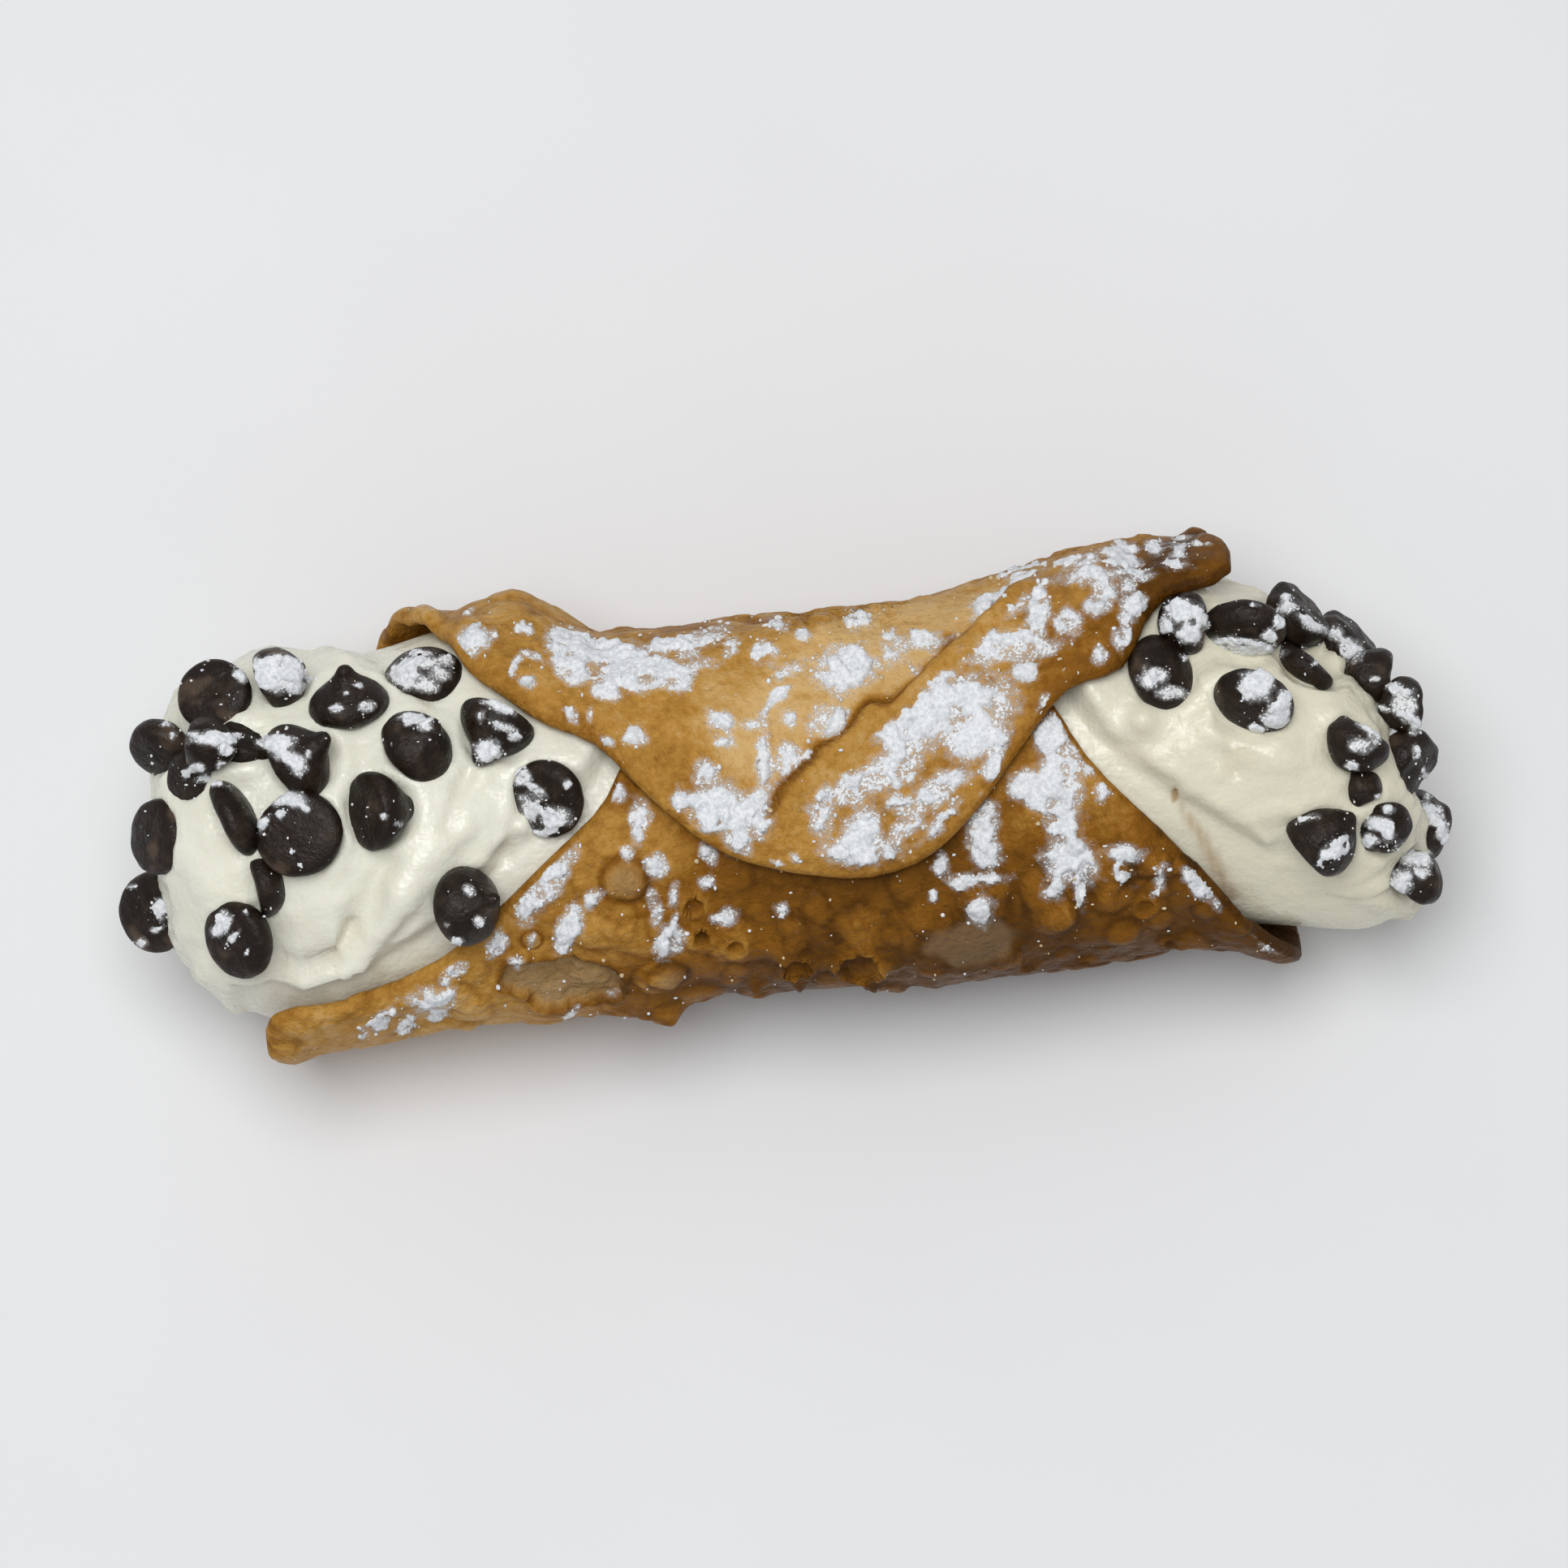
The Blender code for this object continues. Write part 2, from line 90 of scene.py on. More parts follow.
@dataclass(frozen=True)
class LatticeNoise:
    """Seeded noise in two or three dimensions, worked out from a lattice of hashed corners."""

    seed: int

    def corner(self, cells: Array) -> Array:
        """Hash whole-number lattice places to values from 0 to 1.

        Args:
            cells: lattice places, the last axis being the dimensions.

        Returns:
            One value a place: its numbers are multiplied and folded together bit by bit.
        """
        mixed = np.full(cells.shape[:-1], 1009 + 7919 * self.seed, dtype=np.uint64)
        for axis in range(cells.shape[-1]):
            mixed = mixed ^ cells[..., axis].astype(np.int64).view(np.uint64)
            for factor, shift in HASH_STEPS:
                mixed = mixed * np.uint64(factor)
                mixed = mixed ^ (mixed >> np.uint64(shift))
        return (mixed >> np.uint64(40)).astype(float) / float(1 << 24)

    def smooth(self, points: Array, size: float) -> Array:
        """Blend the values of the nearest corners with an s-curve along each axis.

        Args:
            points: places in millimetres.
            size: the lattice's cell in millimetres.

        Returns:
            Noise from -1 to 1.
        """
        scaled = points / size
        cell = np.floor(scaled).astype(np.int64)
        part = scaled - cell
        part = part * part * (3 - 2 * part)
        total = np.zeros(points.shape[:-1])
        for step in product((0, 1), repeat=points.shape[-1]):
            at = np.array(step)
            total += np.prod(np.where(at == 1, part, 1 - part), axis=-1) * self.corner(cell + at)
        return total * 2 - 1

    def fractal(self, points: Array, size: float, octaves: int = 3) -> Array:
        """Sum smooth noises, each half the size and half the strength of the one before.

        Args:
            points: places in millimetres.
            size: cell of the coarsest noise in millimetres.
            octaves: how many noises are summed.

        Returns:
            Noise of about -1 to 1.
        """
        total = np.zeros(points.shape[:-1])
        for octave in range(octaves):
            total += self.smooth(points + 31.7 * octave, size / 2 ** octave) / 2 ** octave
        return total / (2 - 2 ** (1 - octaves))

    def bubbles(self, points: Array, size: float) -> tuple[Array, Array]:
        """Find the nearest of one seeded point a cell.

        Args:
            points: places in millimetres.
            size: the lattice's cell in millimetres.

        Returns:
            The distance to the nearest seeded point in cells, and that point's own random value.
        """
        scaled = points / size
        cell = np.floor(scaled).astype(np.int64)
        nearest = np.full(points.shape[:-1], 9.0)
        value = np.zeros(points.shape[:-1])
        for step in product((-1, 0, 1), repeat=points.shape[-1]):
            near = cell + np.array(step)
            offsets = [LatticeNoise(self.seed + 11 * (axis + 1)).corner(near)
                       for axis in range(points.shape[-1])]
            away = near + np.stack(offsets, -1) - scaled
            distance = np.sqrt((away ** 2).sum(-1))
            closer = distance < nearest
            nearest = np.where(closer, distance, nearest)
            value = np.where(closer, self.corner(near), value)
        return nearest, value


# The photograph's camera and the places read in it

@dataclass(frozen=True)
class PhotoCamera:
    """The photograph's camera: it looks down on the tube from just left of its middle."""

    azimuth: float = -6.6
    elevation: float = 80.0
    distance: float = 1000.0
    target: tuple[float, float, float] = (0.0, 2.0, 21.5)
    lens: float = 186.335
    sensor: float = 36.0
    side: int = 1932
    farthest: float = 20.0

    def axes(self) -> tuple[Array, Array, Array]:
        """Return the unit directions to the camera, to its right and to its top."""
        turn, rise = np.radians(self.azimuth), np.radians(self.elevation)
        back = np.array([np.sin(turn) * np.cos(rise), -np.cos(turn) * np.cos(rise), np.sin(rise)])
        right = np.array([np.cos(turn), np.sin(turn), 0.0])
        return back, right, np.cross(back, right)

    def pixel(self, points: Array) -> tuple[Array, Array]:
        """Project points into the photograph: sideways distance over depth, times the lens.

        Args:
            points: places in millimetres.

        Returns:
            The pixel's column and row, from the top left.
        """
        back, right, up = self.axes()
        away = points - (np.array(self.target) + back * self.distance)
        depth = -(away @ back)
        scale = self.lens / self.sensor * self.side
        return (self.side / 2 + scale * (away @ right) / depth,
                self.side / 2 - scale * (away @ up) / depth)

    def place(self) -> None:
        """Create the camera and make it the scene's."""
        back, right, up = self.axes()
        data = bpy.data.cameras.new("photo_camera")
        data.lens = self.lens
        data.sensor_width = self.sensor
        data.clip_end = self.farthest
        camera = bpy.data.objects.new("photo_camera", data)
        turn = Matrix((right, up, back)).transposed().to_4x4()
        eye = Vector(self.target) + Vector(back) * self.distance
        camera.matrix_world = Matrix.Translation(eye * MM) @ turn
        bpy.context.scene.collection.objects.link(camera)
        bpy.context.scene.camera = camera


class Window(Enum):
    """Enlarged windows of the photograph in which places were read: left, top and enlargement."""

    FLAP = (640, 740, 3.92)
    FAR_FLAP = (1000, 640, 3.733)
    NEAR_LEFT = (640, 1040, 3.733)
    NEAR_RIGHT = (1040, 1040, 2.703)
    FAR_LEFT = (440, 730, 5.6)
    LEFT_LIP = (300, 1140, 4.126)
    FOLD = (1360, 640, 6.03)
    LEFT_END = (140, 650, 1.4545)
    RIGHT_END = (1170, 640, 1.4545)


class Patch(NamedTuple):
    """An ellipse of sugar read in a window: middle, half sizes, strength and tilt clockwise."""

    x: float
    y: float
    half_length: float
    half_width: float
    strength: float = 1.0
    tilt: float = 0.0


PatchTable = dict[Window, tuple[Patch, ...]]
DOUGH_PATCHES: PatchTable = {
    Window.FLAP: records(
        Patch, (250, 200, 95, 55, 1, 15), (240, 330, 85, 55, 1, 20), (420, 250, 200, 55, .8, 3),
        (420, 440, 60, 40), (560, 330, 240, 55, .75, -4), (730, 330, 160, 40, 1, -10),
        (790, 400, 60, 25, 1, -30), (870, 190, 115, 45, 1, -22), (1020, 230, 40, 25, 1, -30),
        (680, 215, 120, 30, .8), (1190, 250, 50, 40, .7), (1230, 110, 60, 28, .7), (1370, 160, 40, 25),
        (1300, 330, 75, 28, .8, -30), (1230, 490, 110, 30, .8, -45), (970, 580, 62, 32, 1, 15),
        (985, 675, 45, 25, 1, 10), (1120, 590, 50, 22), (1310, 570, 36, 36), (565, 655, 45, 32, 1, -25),
        (250, 545, 28, 36, .9), (340, 545, 16, 24, .9), (45, 385, 30, 22), (890, 835, 52, 52),
        (1185, 780, 35, 110), (1310, 790, 55, 78), (1400, 760, 35, 35), (1490, 720, 50, 25, 1, -40),
        (950, 990, 105, 95, 1, 10), (1165, 1020, 78, 90), (1310, 940, 70, 48), (1060, 1120, 52, 90),
        (785, 965, 38, 50, .8), (470, 925, 38, 42), (575, 1030, 45, 62), (572, 1130, 28, 45, .8),
        (440, 690, 28, 26, .9), (660, 1270, 38, 48, .85), (530, 1220, 30, 25, .9), (905, 1225, 28, 42, .85),
        (1240, 1280, 30, 20, .9), (1335, 1240, 22, 32, .9), (1210, 1000, 60, 60, .7), (590, 385, 110, 42)),
    Window.FAR_FLAP: records(
        Patch, (150, 690, 120, 85, 1, -12), (90, 930, 78, 66), (220, 460, 60, 55, .55),
        (370, 600, 52, 75, .7), (520, 560, 75, 45, .75, 10), (850, 590, 205, 60, 1, -4),
        (1010, 585, 70, 45), (870, 390, 110, 55, .9, -20), (1040, 420, 45, 120, .9),
        (1000, 270, 120, 50, .6), (1180, 480, 48, 48), (990, 700, 60, 45, .85), (1270, 265, 100, 38, 1, 5),
        (1315, 392, 52, 42), (1220, 190, 90, 28, .95, -5), (1010, 212, 85, 22, .85, -5),
        (480, 930, 165, 105, 1, -35), (680, 870, 200, 110, 1, -10), (750, 985, 125, 85, 1, -30),
        (600, 730, 120, 50, .75, 15), (860, 1010, 45, 48), (840, 1135, 42, 62, 1, 15),
        (330, 1165, 110, 50, 1, -18), (445, 1090, 60, 42), (170, 1240, 60, 52, 1, 45),
        (410, 1305, 56, 30, 1, -8), (600, 1235, 120, 45, 1, -30), (435, 1400, 100, 42, 1, -50),
        (240, 1430, 70, 100, 1, 10), (230, 1530, 150, 45), (40, 1320, 48, 120),
        (590, 1390, 140, 26, .65, -48), (350, 1190, 150, 60, .6, -20), (1095, 985, 58, 95, 1, 5),
        (1150, 1170, 75, 175, 1, 5), (990, 1215, 60, 42, 1, -10), (1080, 1290, 130, 55, 1, 20),
        (1160, 1420, 70, 70, .65), (1160, 855, 30, 60), (1080, 840, 20, 30, .9),
        (790, 1420, 52, 105, .9, 12), (1280, 1150, 30, 24, 1, 30), (1340, 1262, 38, 36, .8),
        (1320, 630, 30, 30, .9), (1180, 1520, 90, 45, .85), (1120, 900, 60, 50, .9)),
    Window.NEAR_LEFT: records(
        Patch, (120, 190, 55, 150, 1, 35), (630, 100, 34, 45, .9), (870, 50, 30, 45, .85),
        (860, 170, 36, 22, .85, -25), (235, 385, 42, 90, .95, 18), (345, 250, 50, 26, .8, -60),
        (615, 290, 26, 62, 1, -8), (705, 235, 28, 45, .7), (692, 450, 60, 48, 1, -35),
        (712, 365, 22, 36, .75), (950, 330, 50, 34, .95), (1200, 310, 30, 28, .75),
        (55, 445, 34, 18, .7, -50), (430, 690, 32, 22, .7, -30), (235, 785, 40, 22, .85, -40)),
    Window.NEAR_RIGHT: records(
        Patch, (470, 25, 48, 42, .95, 20), (330, 75, 25, 28, .9), (400, 125, 45, 17, .9),
        (485, 118, 60, 24, .5), (755, 60, 75, 58, .95, 25), (700, 150, 40, 36, .6), (792, 140, 22, 60, .6),
        (940, 30, 46, 26), (930, 85, 40, 40, .35), (455, 222, 36, 42, .75), (1042, 120, 18, 48, .75, 20),
        (1148, 95, 26, 22), (1195, 150, 60, 22, 1, 50), (1335, 240, 42, 28, .8, 50),
        (1435, 320, 58, 36, .9, 25), (298, 165, 14, 26, .5), (1490, 300, 46, 30, .8, 35),
        (1530, 318, 22, 24, .9)),
    Window.FAR_LEFT: records(
        Patch, (800, 330, 110, 75, 1, -15), (825, 225, 60, 22, .95, 10), (935, 290, 40, 24, .95, 30),
        (1100, 520, 26, 60, 1, 25), (1195, 440, 50, 28, 1, 15), (1190, 600, 36, 30, .95),
        (375, 170, 30, 34), (425, 220, 34, 36), (460, 92, 50, 18, 1, -10), (570, 108, 50, 26),
        (765, 130, 42, 22, .95, -15), (1150, 265, 52, 22, .9, 10), (1460, 810, 34, 30, .95),
        (860, 635, 110, 20, .7, 25)),
    Window.LEFT_LIP: records(
        Patch, (920, 385, 60, 62), (1012, 405, 82, 38, 1, -52), (1078, 232, 46, 28, 1, -35),
        (1020, 295, 28, 24, 1, -45), (1290, 105, 36, 62, 1, 20), (1380, 195, 30, 24),
        (710, 475, 92, 38, .75, -48), (830, 500, 64, 44, .65, -30), (605, 548, 30, 18, .85)),
    Window.FOLD: records(
        Patch, (120, 240, 130, 42, 1, -6), (130, 312, 130, 28), (190, 400, 120, 46, .95),
        (170, 490, 60, 55), (30, 545, 60, 70), (380, 210, 52, 46), (550, 200, 58, 78),
        (680, 165, 90, 22, .8, 15), (235, 640, 82, 78, 1, -20), (180, 735, 60, 50), (145, 875, 72, 62),
        (520, 340, 120, 50, .4))}
DROP_PATCHES: PatchTable = {
    Window.LEFT_END: records(
        Patch, (228, 262, 16, 10, .8, 30), (300, 262, 38, 28), (262, 245, 20, 8), (330, 290, 18, 12),
        (345, 262, 15, 8), (455, 320, 14, 10, .9), (395, 325, 12, 6, .8), (415, 300, 6, 4, .8),
        (440, 285, 8, 5, .8), (525, 262, 24, 22, .85), (560, 245, 20, 12, .9), (585, 262, 18, 12, .9),
        (560, 285, 22, 10, .9), (600, 240, 14, 10, .9), (545, 225, 20, 8, .85), (690, 320, 28, 10, .9, 15),
        (700, 355, 25, 7, .85, 15), (670, 400, 20, 22, .95, -40), (720, 375, 12, 8, .8),
        (655, 340, 8, 12, .7), (545, 338, 26, 16), (580, 330, 18, 10, .9), (560, 358, 14, 9, .8),
        (498, 390, 3, 3, .9), (95, 352, 16, 5, .7), (105, 370, 8, 8, .6), (175, 380, 30, 14, .9),
        (150, 372, 12, 8, .8), (200, 400, 12, 10, .9), (215, 375, 10, 8, .8), (150, 430, 16, 8, .8),
        (170, 455, 22, 8, .85), (130, 440, 8, 10, .7), (195, 430, 10, 8, .8), (290, 385, 30, 14),
        (315, 415, 30, 12, .9, 30), (330, 440, 14, 8, .8), (350, 405, 8, 6, .8), (250, 470, 40, 10, .8, 10),
        (315, 487, 28, 12), (270, 530, 14, 8, .75, -60), (300, 515, 10, 8, .7), (345, 500, 10, 6, .7),
        (85, 685, 12, 18, .75), (35, 640, 8, 6, .6), (50, 745, 14, 8, .75), (75, 720, 14, 6, .7, -20),
        (95, 650, 8, 8, .7), (195, 710, 12, 22, .9, 30), (215, 735, 18, 6, .75, -40),
        (240, 760, 8, 4, .7, -40), (240, 690, 5, 5, .6), (485, 520, 9, 6, .75), (510, 530, 8, 5, .8),
        (640, 650, 10, 9, .9), (655, 707, 9, 9, .9), (598, 710, 5, 6, .8), (610, 745, 14, 6, .7),
        (690, 720, 10, 5, .8, -30), (745, 500, 22, 26, .8, -20), (795, 520, 26, 18, .85),
        (760, 470, 20, 8, .8, 30), (735, 450, 14, 14), (815, 460, 8, 10, .7), (770, 545, 25, 8, .7)),
    Window.RIGHT_END: records(
        Patch, (420, 165, 28, 18, .95), (385, 190, 18, 12, .9), (430, 205, 20, 14, .9),
        (365, 180, 10, 10, .7), (455, 185, 10, 14, .8), (525, 230, 55, 16, 1, 8), (572, 205, 12, 10, .9),
        (590, 180, 10, 12, .8), (545, 150, 8, 4, .7), (365, 285, 20, 14, .95, -20), (400, 312, 24, 12, .95),
        (350, 262, 6, 4, .7), (425, 245, 12, 6, .7), (550, 295, 26, 28, .95, -10),
        (585, 350, 22, 20, .9, -20), (550, 375, 14, 8, .8), (600, 320, 10, 14, .8), (605, 155, 14, 10),
        (640, 185, 18, 10, 1, 40), (600, 140, 10, 6, .8), (660, 195, 14, 8, .9), (690, 205, 16, 14, .9),
        (720, 235, 22, 16, 1, 40), (632, 232, 8, 6, .9), (655, 258, 5, 4, .8), (760, 285, 10, 6, .8),
        (745, 365, 14, 10, .9), (735, 405, 16, 12, .9), (760, 385, 10, 14, .8), (720, 440, 10, 8, .9),
        (775, 340, 10, 6, .8), (815, 330, 18, 30, 1, -10), (800, 300, 14, 10, .9), (835, 370, 10, 18, .9),
        (800, 460, 8, 6, .8), (835, 420, 8, 14, .7), (850, 455, 6, 12, .7), (785, 520, 10, 8, .8),
        (770, 500, 8, 5, .8), (690, 592, 45, 18, .42, -30), (640, 537, 24, 8, .42, -20), (765, 545, 20, 10),
        (750, 575, 14, 10, .9), (785, 560, 12, 16, .9), (860, 530, 22, 20), (885, 560, 10, 20, .9),
        (845, 570, 10, 8, .9), (855, 490, 8, 14, .9), (830, 600, 28, 20, 1, 20), (805, 650, 20, 18),
        (845, 630, 14, 12, .9))}
CREAM_PATCHES: PatchTable = {
    Window.LEFT_END: records(
        Patch, (296, 378, 40, 16, 1, -5), (352, 275, 14, 12, .9), (268, 345, 12, 8, .8),
        (500, 312, 14, 6, .7), (728, 445, 12, 14, .9), (770, 425, 14, 5, .8), (205, 470, 14, 6, .7))}


def ellipse_field(column: Array, row: Array, patches: PatchTable, spread: float = 1.75) -> Array:
    """Work out how far inside the patches each pixel is.

    The result is the largest, over the patches, of strength × (spread - d²), where d is the distance
    from the patch's middle in its own half sizes, and never below 0.

    Args:
        column: pixel columns of the photograph.
        row: pixel rows of the photograph.
        patches: the patches of each window.
        spread: the square of the distance at which a patch ends.

    Returns:
        The field, 0 away from every patch.
    """
    best = np.zeros(np.shape(column))
    for window, rows in patches.items():
        left, top, zoom = window.value
        for patch in rows:
            across = (column - left) * zoom - patch.x
            down = (row - top) * zoom - patch.y
            tilt = np.radians(patch.tilt)
            onward = (across * np.cos(tilt) + down * np.sin(tilt)) / patch.half_length
            beside = (down * np.cos(tilt) - across * np.sin(tilt)) / patch.half_width
            best = np.maximum(best, patch.strength * (spread - onward ** 2 - beside ** 2))
    return best


# Meshes

def surface_normals(points: Array, closed: bool = False) -> Array:
    """Work out the normals of a grid of points, as the cross product of its two gradients.

    Args:
        points: the grid.
        closed: whether its last column joins the first.

    Returns:
        A normal of length 1 at each point.
    """
    if closed:
        wrapped = np.concatenate([points[:, -1:], points, points[:, :1]], axis=1)
        return surface_normals(wrapped)[:, 1:-1]
    normals = np.cross(np.gradient(points, axis=0), np.gradient(points, axis=1))
    return normals / np.maximum(np.linalg.norm(normals, axis=-1, keepdims=True), 1e-9)


def signed_volume(points: Array, faces: Sequence[Array]) -> float:
    """Sum the signed tetrahedra between the origin and each face's fan of triangles."""
    total = 0.0
    for group in faces:
        for corner in range(1, group.shape[1] - 1):
            first, second, third = (points[group[:, pick]] for pick in (0, corner, corner + 1))
            total += float((first * np.cross(second, third)).sum())
    return total / 6


def facing_out(points: Array, faces: Sequence[Array]) -> Sequence[Array]:
    """Return the groups of faces, all turned over if their signed volume is negative."""
    if signed_volume(points, faces) < 0:
        return [group[:, ::-1] for group in faces]
    return faces


def build_mesh(name: str, points: Array, faces: Sequence[Array], material: bpy.types.Material,
               marks: dict[str, Array] | None = None) -> bpy.types.Object:
    """Put a closed surface into a new smooth-shaded object, with its faces pointing outwards.

    Args:
        name: the object's name.
        points: vertices in millimetres.
        faces: groups of faces of one corner count, as vertex numbers.
        material: its finish.
        marks: values for each vertex, by the attribute's name.

    Returns:
        The linked object, at the origin.
    """
    faces = facing_out(points, faces)
    mesh = bpy.data.meshes.new(name)
    corners = np.concatenate([group.ravel() for group in faces]).astype(np.int32)
    counts = np.concatenate([np.full(len(group), group.shape[1]) for group in faces])
    mesh.vertices.add(len(points))
    mesh.vertices.foreach_set("co", (points * MM).astype(np.float32).ravel())
    mesh.loops.add(len(corners))
    mesh.loops.foreach_set("vertex_index", corners)
    mesh.polygons.add(len(counts))
    starts = np.concatenate([[0], np.cumsum(counts)[:-1]]).astype(np.int32)
    mesh.polygons.foreach_set("loop_start", starts)
    mesh.polygons.foreach_set("use_smooth", np.ones(len(counts), dtype=bool))
    mesh.update(calc_edges=True)
    mesh.validate()
    for mark, values in (marks or {}).items():
        attribute = mesh.attributes.new(mark, "FLOAT", "POINT")
        attribute.data.foreach_set("value", np.asarray(values, dtype=np.float32).ravel())
    mesh.materials.append(material)
    piece = bpy.data.objects.new(name, mesh)
    bpy.context.scene.collection.objects.link(piece)
    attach(piece, BODY)
    triangles = int((counts - 2).sum())
    log.info("%s: %d vertices, %d triangles", name, len(points), triangles)
    return piece


def rejoined(grid: Array) -> Array:
    """Return a grid with its first column once more after its last."""
    return np.concatenate([grid, grid[:, :1]], axis=1)


def cell_corners(grid: Array) -> tuple[Array, ...]:
    """Return a grid's values at the four corners of each of its cells, in order round the cell."""
    return grid[:-1, :-1], grid[1:, :-1], grid[1:, 1:], grid[:-1, 1:]


def quads_of(numbers: Array) -> Array:
    """Return the quads of a grid of vertex numbers, four numbers a cell."""
    return np.stack([corner.ravel() for corner in cell_corners(numbers)], -1)


def numbered(rows: int, columns: int) -> Array:
    """Return the vertex numbers of a grid, row by row."""
    return np.arange(rows * columns).reshape(rows, columns)


def fan(ring: Array, pole: int) -> Array:
    """Return the triangles from each pair of neighbours on a closed ring to one pole."""
    return np.stack([ring, np.roll(ring, -1), np.full(len(ring), pole)], -1)


def closed_tube(rows: int, sides: int) -> list[Array]:
    """Number the faces of rings round an axis, with a pole before the first and after the last.

    Args:
        rows: how many rings there are.
        sides: vertices on each ring.

    Returns:
        The quads, and the triangles to the two poles, which are numbered after the rings.
    """
    rings = numbered(rows, sides)
    tips = np.concatenate([fan(rings[0], rings.size), fan(rings[-1], rings.size + 1)[:, ::-1]])
    return [quads_of(rejoined(rings)), tips]


def bordered(mask: Array, closed: bool) -> Array:
    """Return a mask with one more cell on each side: off, or wrapped round if it is closed."""
    taller = np.pad(mask, ((1, 1), (0, 0)))
    return np.pad(taller, ((0, 0), (1, 1)), mode="wrap" if closed else "constant")


def islands(top: Array, bottom: Array, mask: Array, closed: bool = False) -> tuple[Array, Array]:
    """Close the cells of a grid that are switched on into solid islands.

    Each island has the top points above, the bottom points below and a wall along its edge.

    Args:
        top: grid of upper points.
        bottom: grid of lower points, of the same shape.
        mask: which cells are on, one fewer each way.
        closed: whether the last column of points is the first again.

    Returns:
        The points in use and the quads between them.
    """
    numbers = numbered(*top.shape[:2])
    lower = numbers.size
    if closed:
        numbers[:, -1] = numbers[:, 0]
    corners = cell_corners(numbers)
    quads = [np.stack([corner[mask] for corner in corners], -1)]
    quads.append(quads[0][:, ::-1] + lower)
    padded = bordered(mask, closed)
    neighbours = (padded[1:-1, :-2], padded[2:, 1:-1], padded[1:-1, 2:], padded[:-2, 1:-1])
    for side, beside in enumerate(neighbours):
        edge = mask & ~beside
        start, end = corners[side][edge], corners[(side + 1) % 4][edge]
        quads.append(np.stack([end, start, start + lower, end + lower], -1))
    every = np.concatenate(quads)
    used, renumbered = np.unique(every, return_inverse=True)
    points = np.concatenate([top.reshape(-1, 3), bottom.reshape(-1, 3)])[used]
    return points, renumbered.reshape(every.shape)


def joined(parts: Iterable[tuple[Array, Array]]) -> tuple[Array, Array]:
    """Join point and face arrays into one pair, each part facing out and its numbers shifted on.

    Args:
        parts: points and faces of each part.

    Returns:
        All the points and all the faces.
    """
    points, faces, count = [], [], 0
    for part_points, part_faces in parts:
        points.append(part_points)
        faces.append(facing_out(part_points, [part_faces])[0] + count)
        count += len(part_points)
    return np.concatenate(points), np.concatenate(faces)


def refined(grid: Array, times: int) -> Array:
    """Return a grid of points with each cell divided evenly this many times each way.

    Args:
        grid: the points.
        times: how many parts a cell's side is divided into.

    Returns:
        The finer grid, blended evenly across the columns and then down the rows.
    """
    for _ in ("across", "down"):
        grid = grid.swapaxes(0, 1)
        at = np.arange(0, len(grid) - 1 + 1e-9, 1 / times)
        low = np.minimum(at.astype(int), len(grid) - 2)
        share = (at - low)[:, None, None]
        grid = grid[low] * (1 - share) + grid[low + 1] * share
    return grid


def twenty_faced_ball() -> tuple[Array, Array]:
    """Work out a ball of twelve corners: every pair of the places (0, ±1, ±golden ratio).

    Returns:
        The corners at distance 1 and the twenty triangles between nearest corners.
    """
    golden = (1 + np.sqrt(5)) / 2
    corners = []
    for first, second in product((-1, 1), (-golden, golden)):
        corners += [(0, first, second), (first, second, 0), (second, 0, first)]
    points = np.array(corners) / np.hypot(1, golden)
    near = np.linalg.norm(points[:, None] - points[None], axis=-1) < 1.2
    faces = []
    for first, second, third in product(range(12), repeat=3):
        all_near = near[first, second] and near[second, third] and near[first, third]
        if first < second and first < third and all_near:
            turned = np.cross(points[second] - points[first], points[third] - points[first])
            if turned @ points[first] > 0 and second != third:
                faces.append((first, second, third))
    return points, np.array(faces)


# Finishes

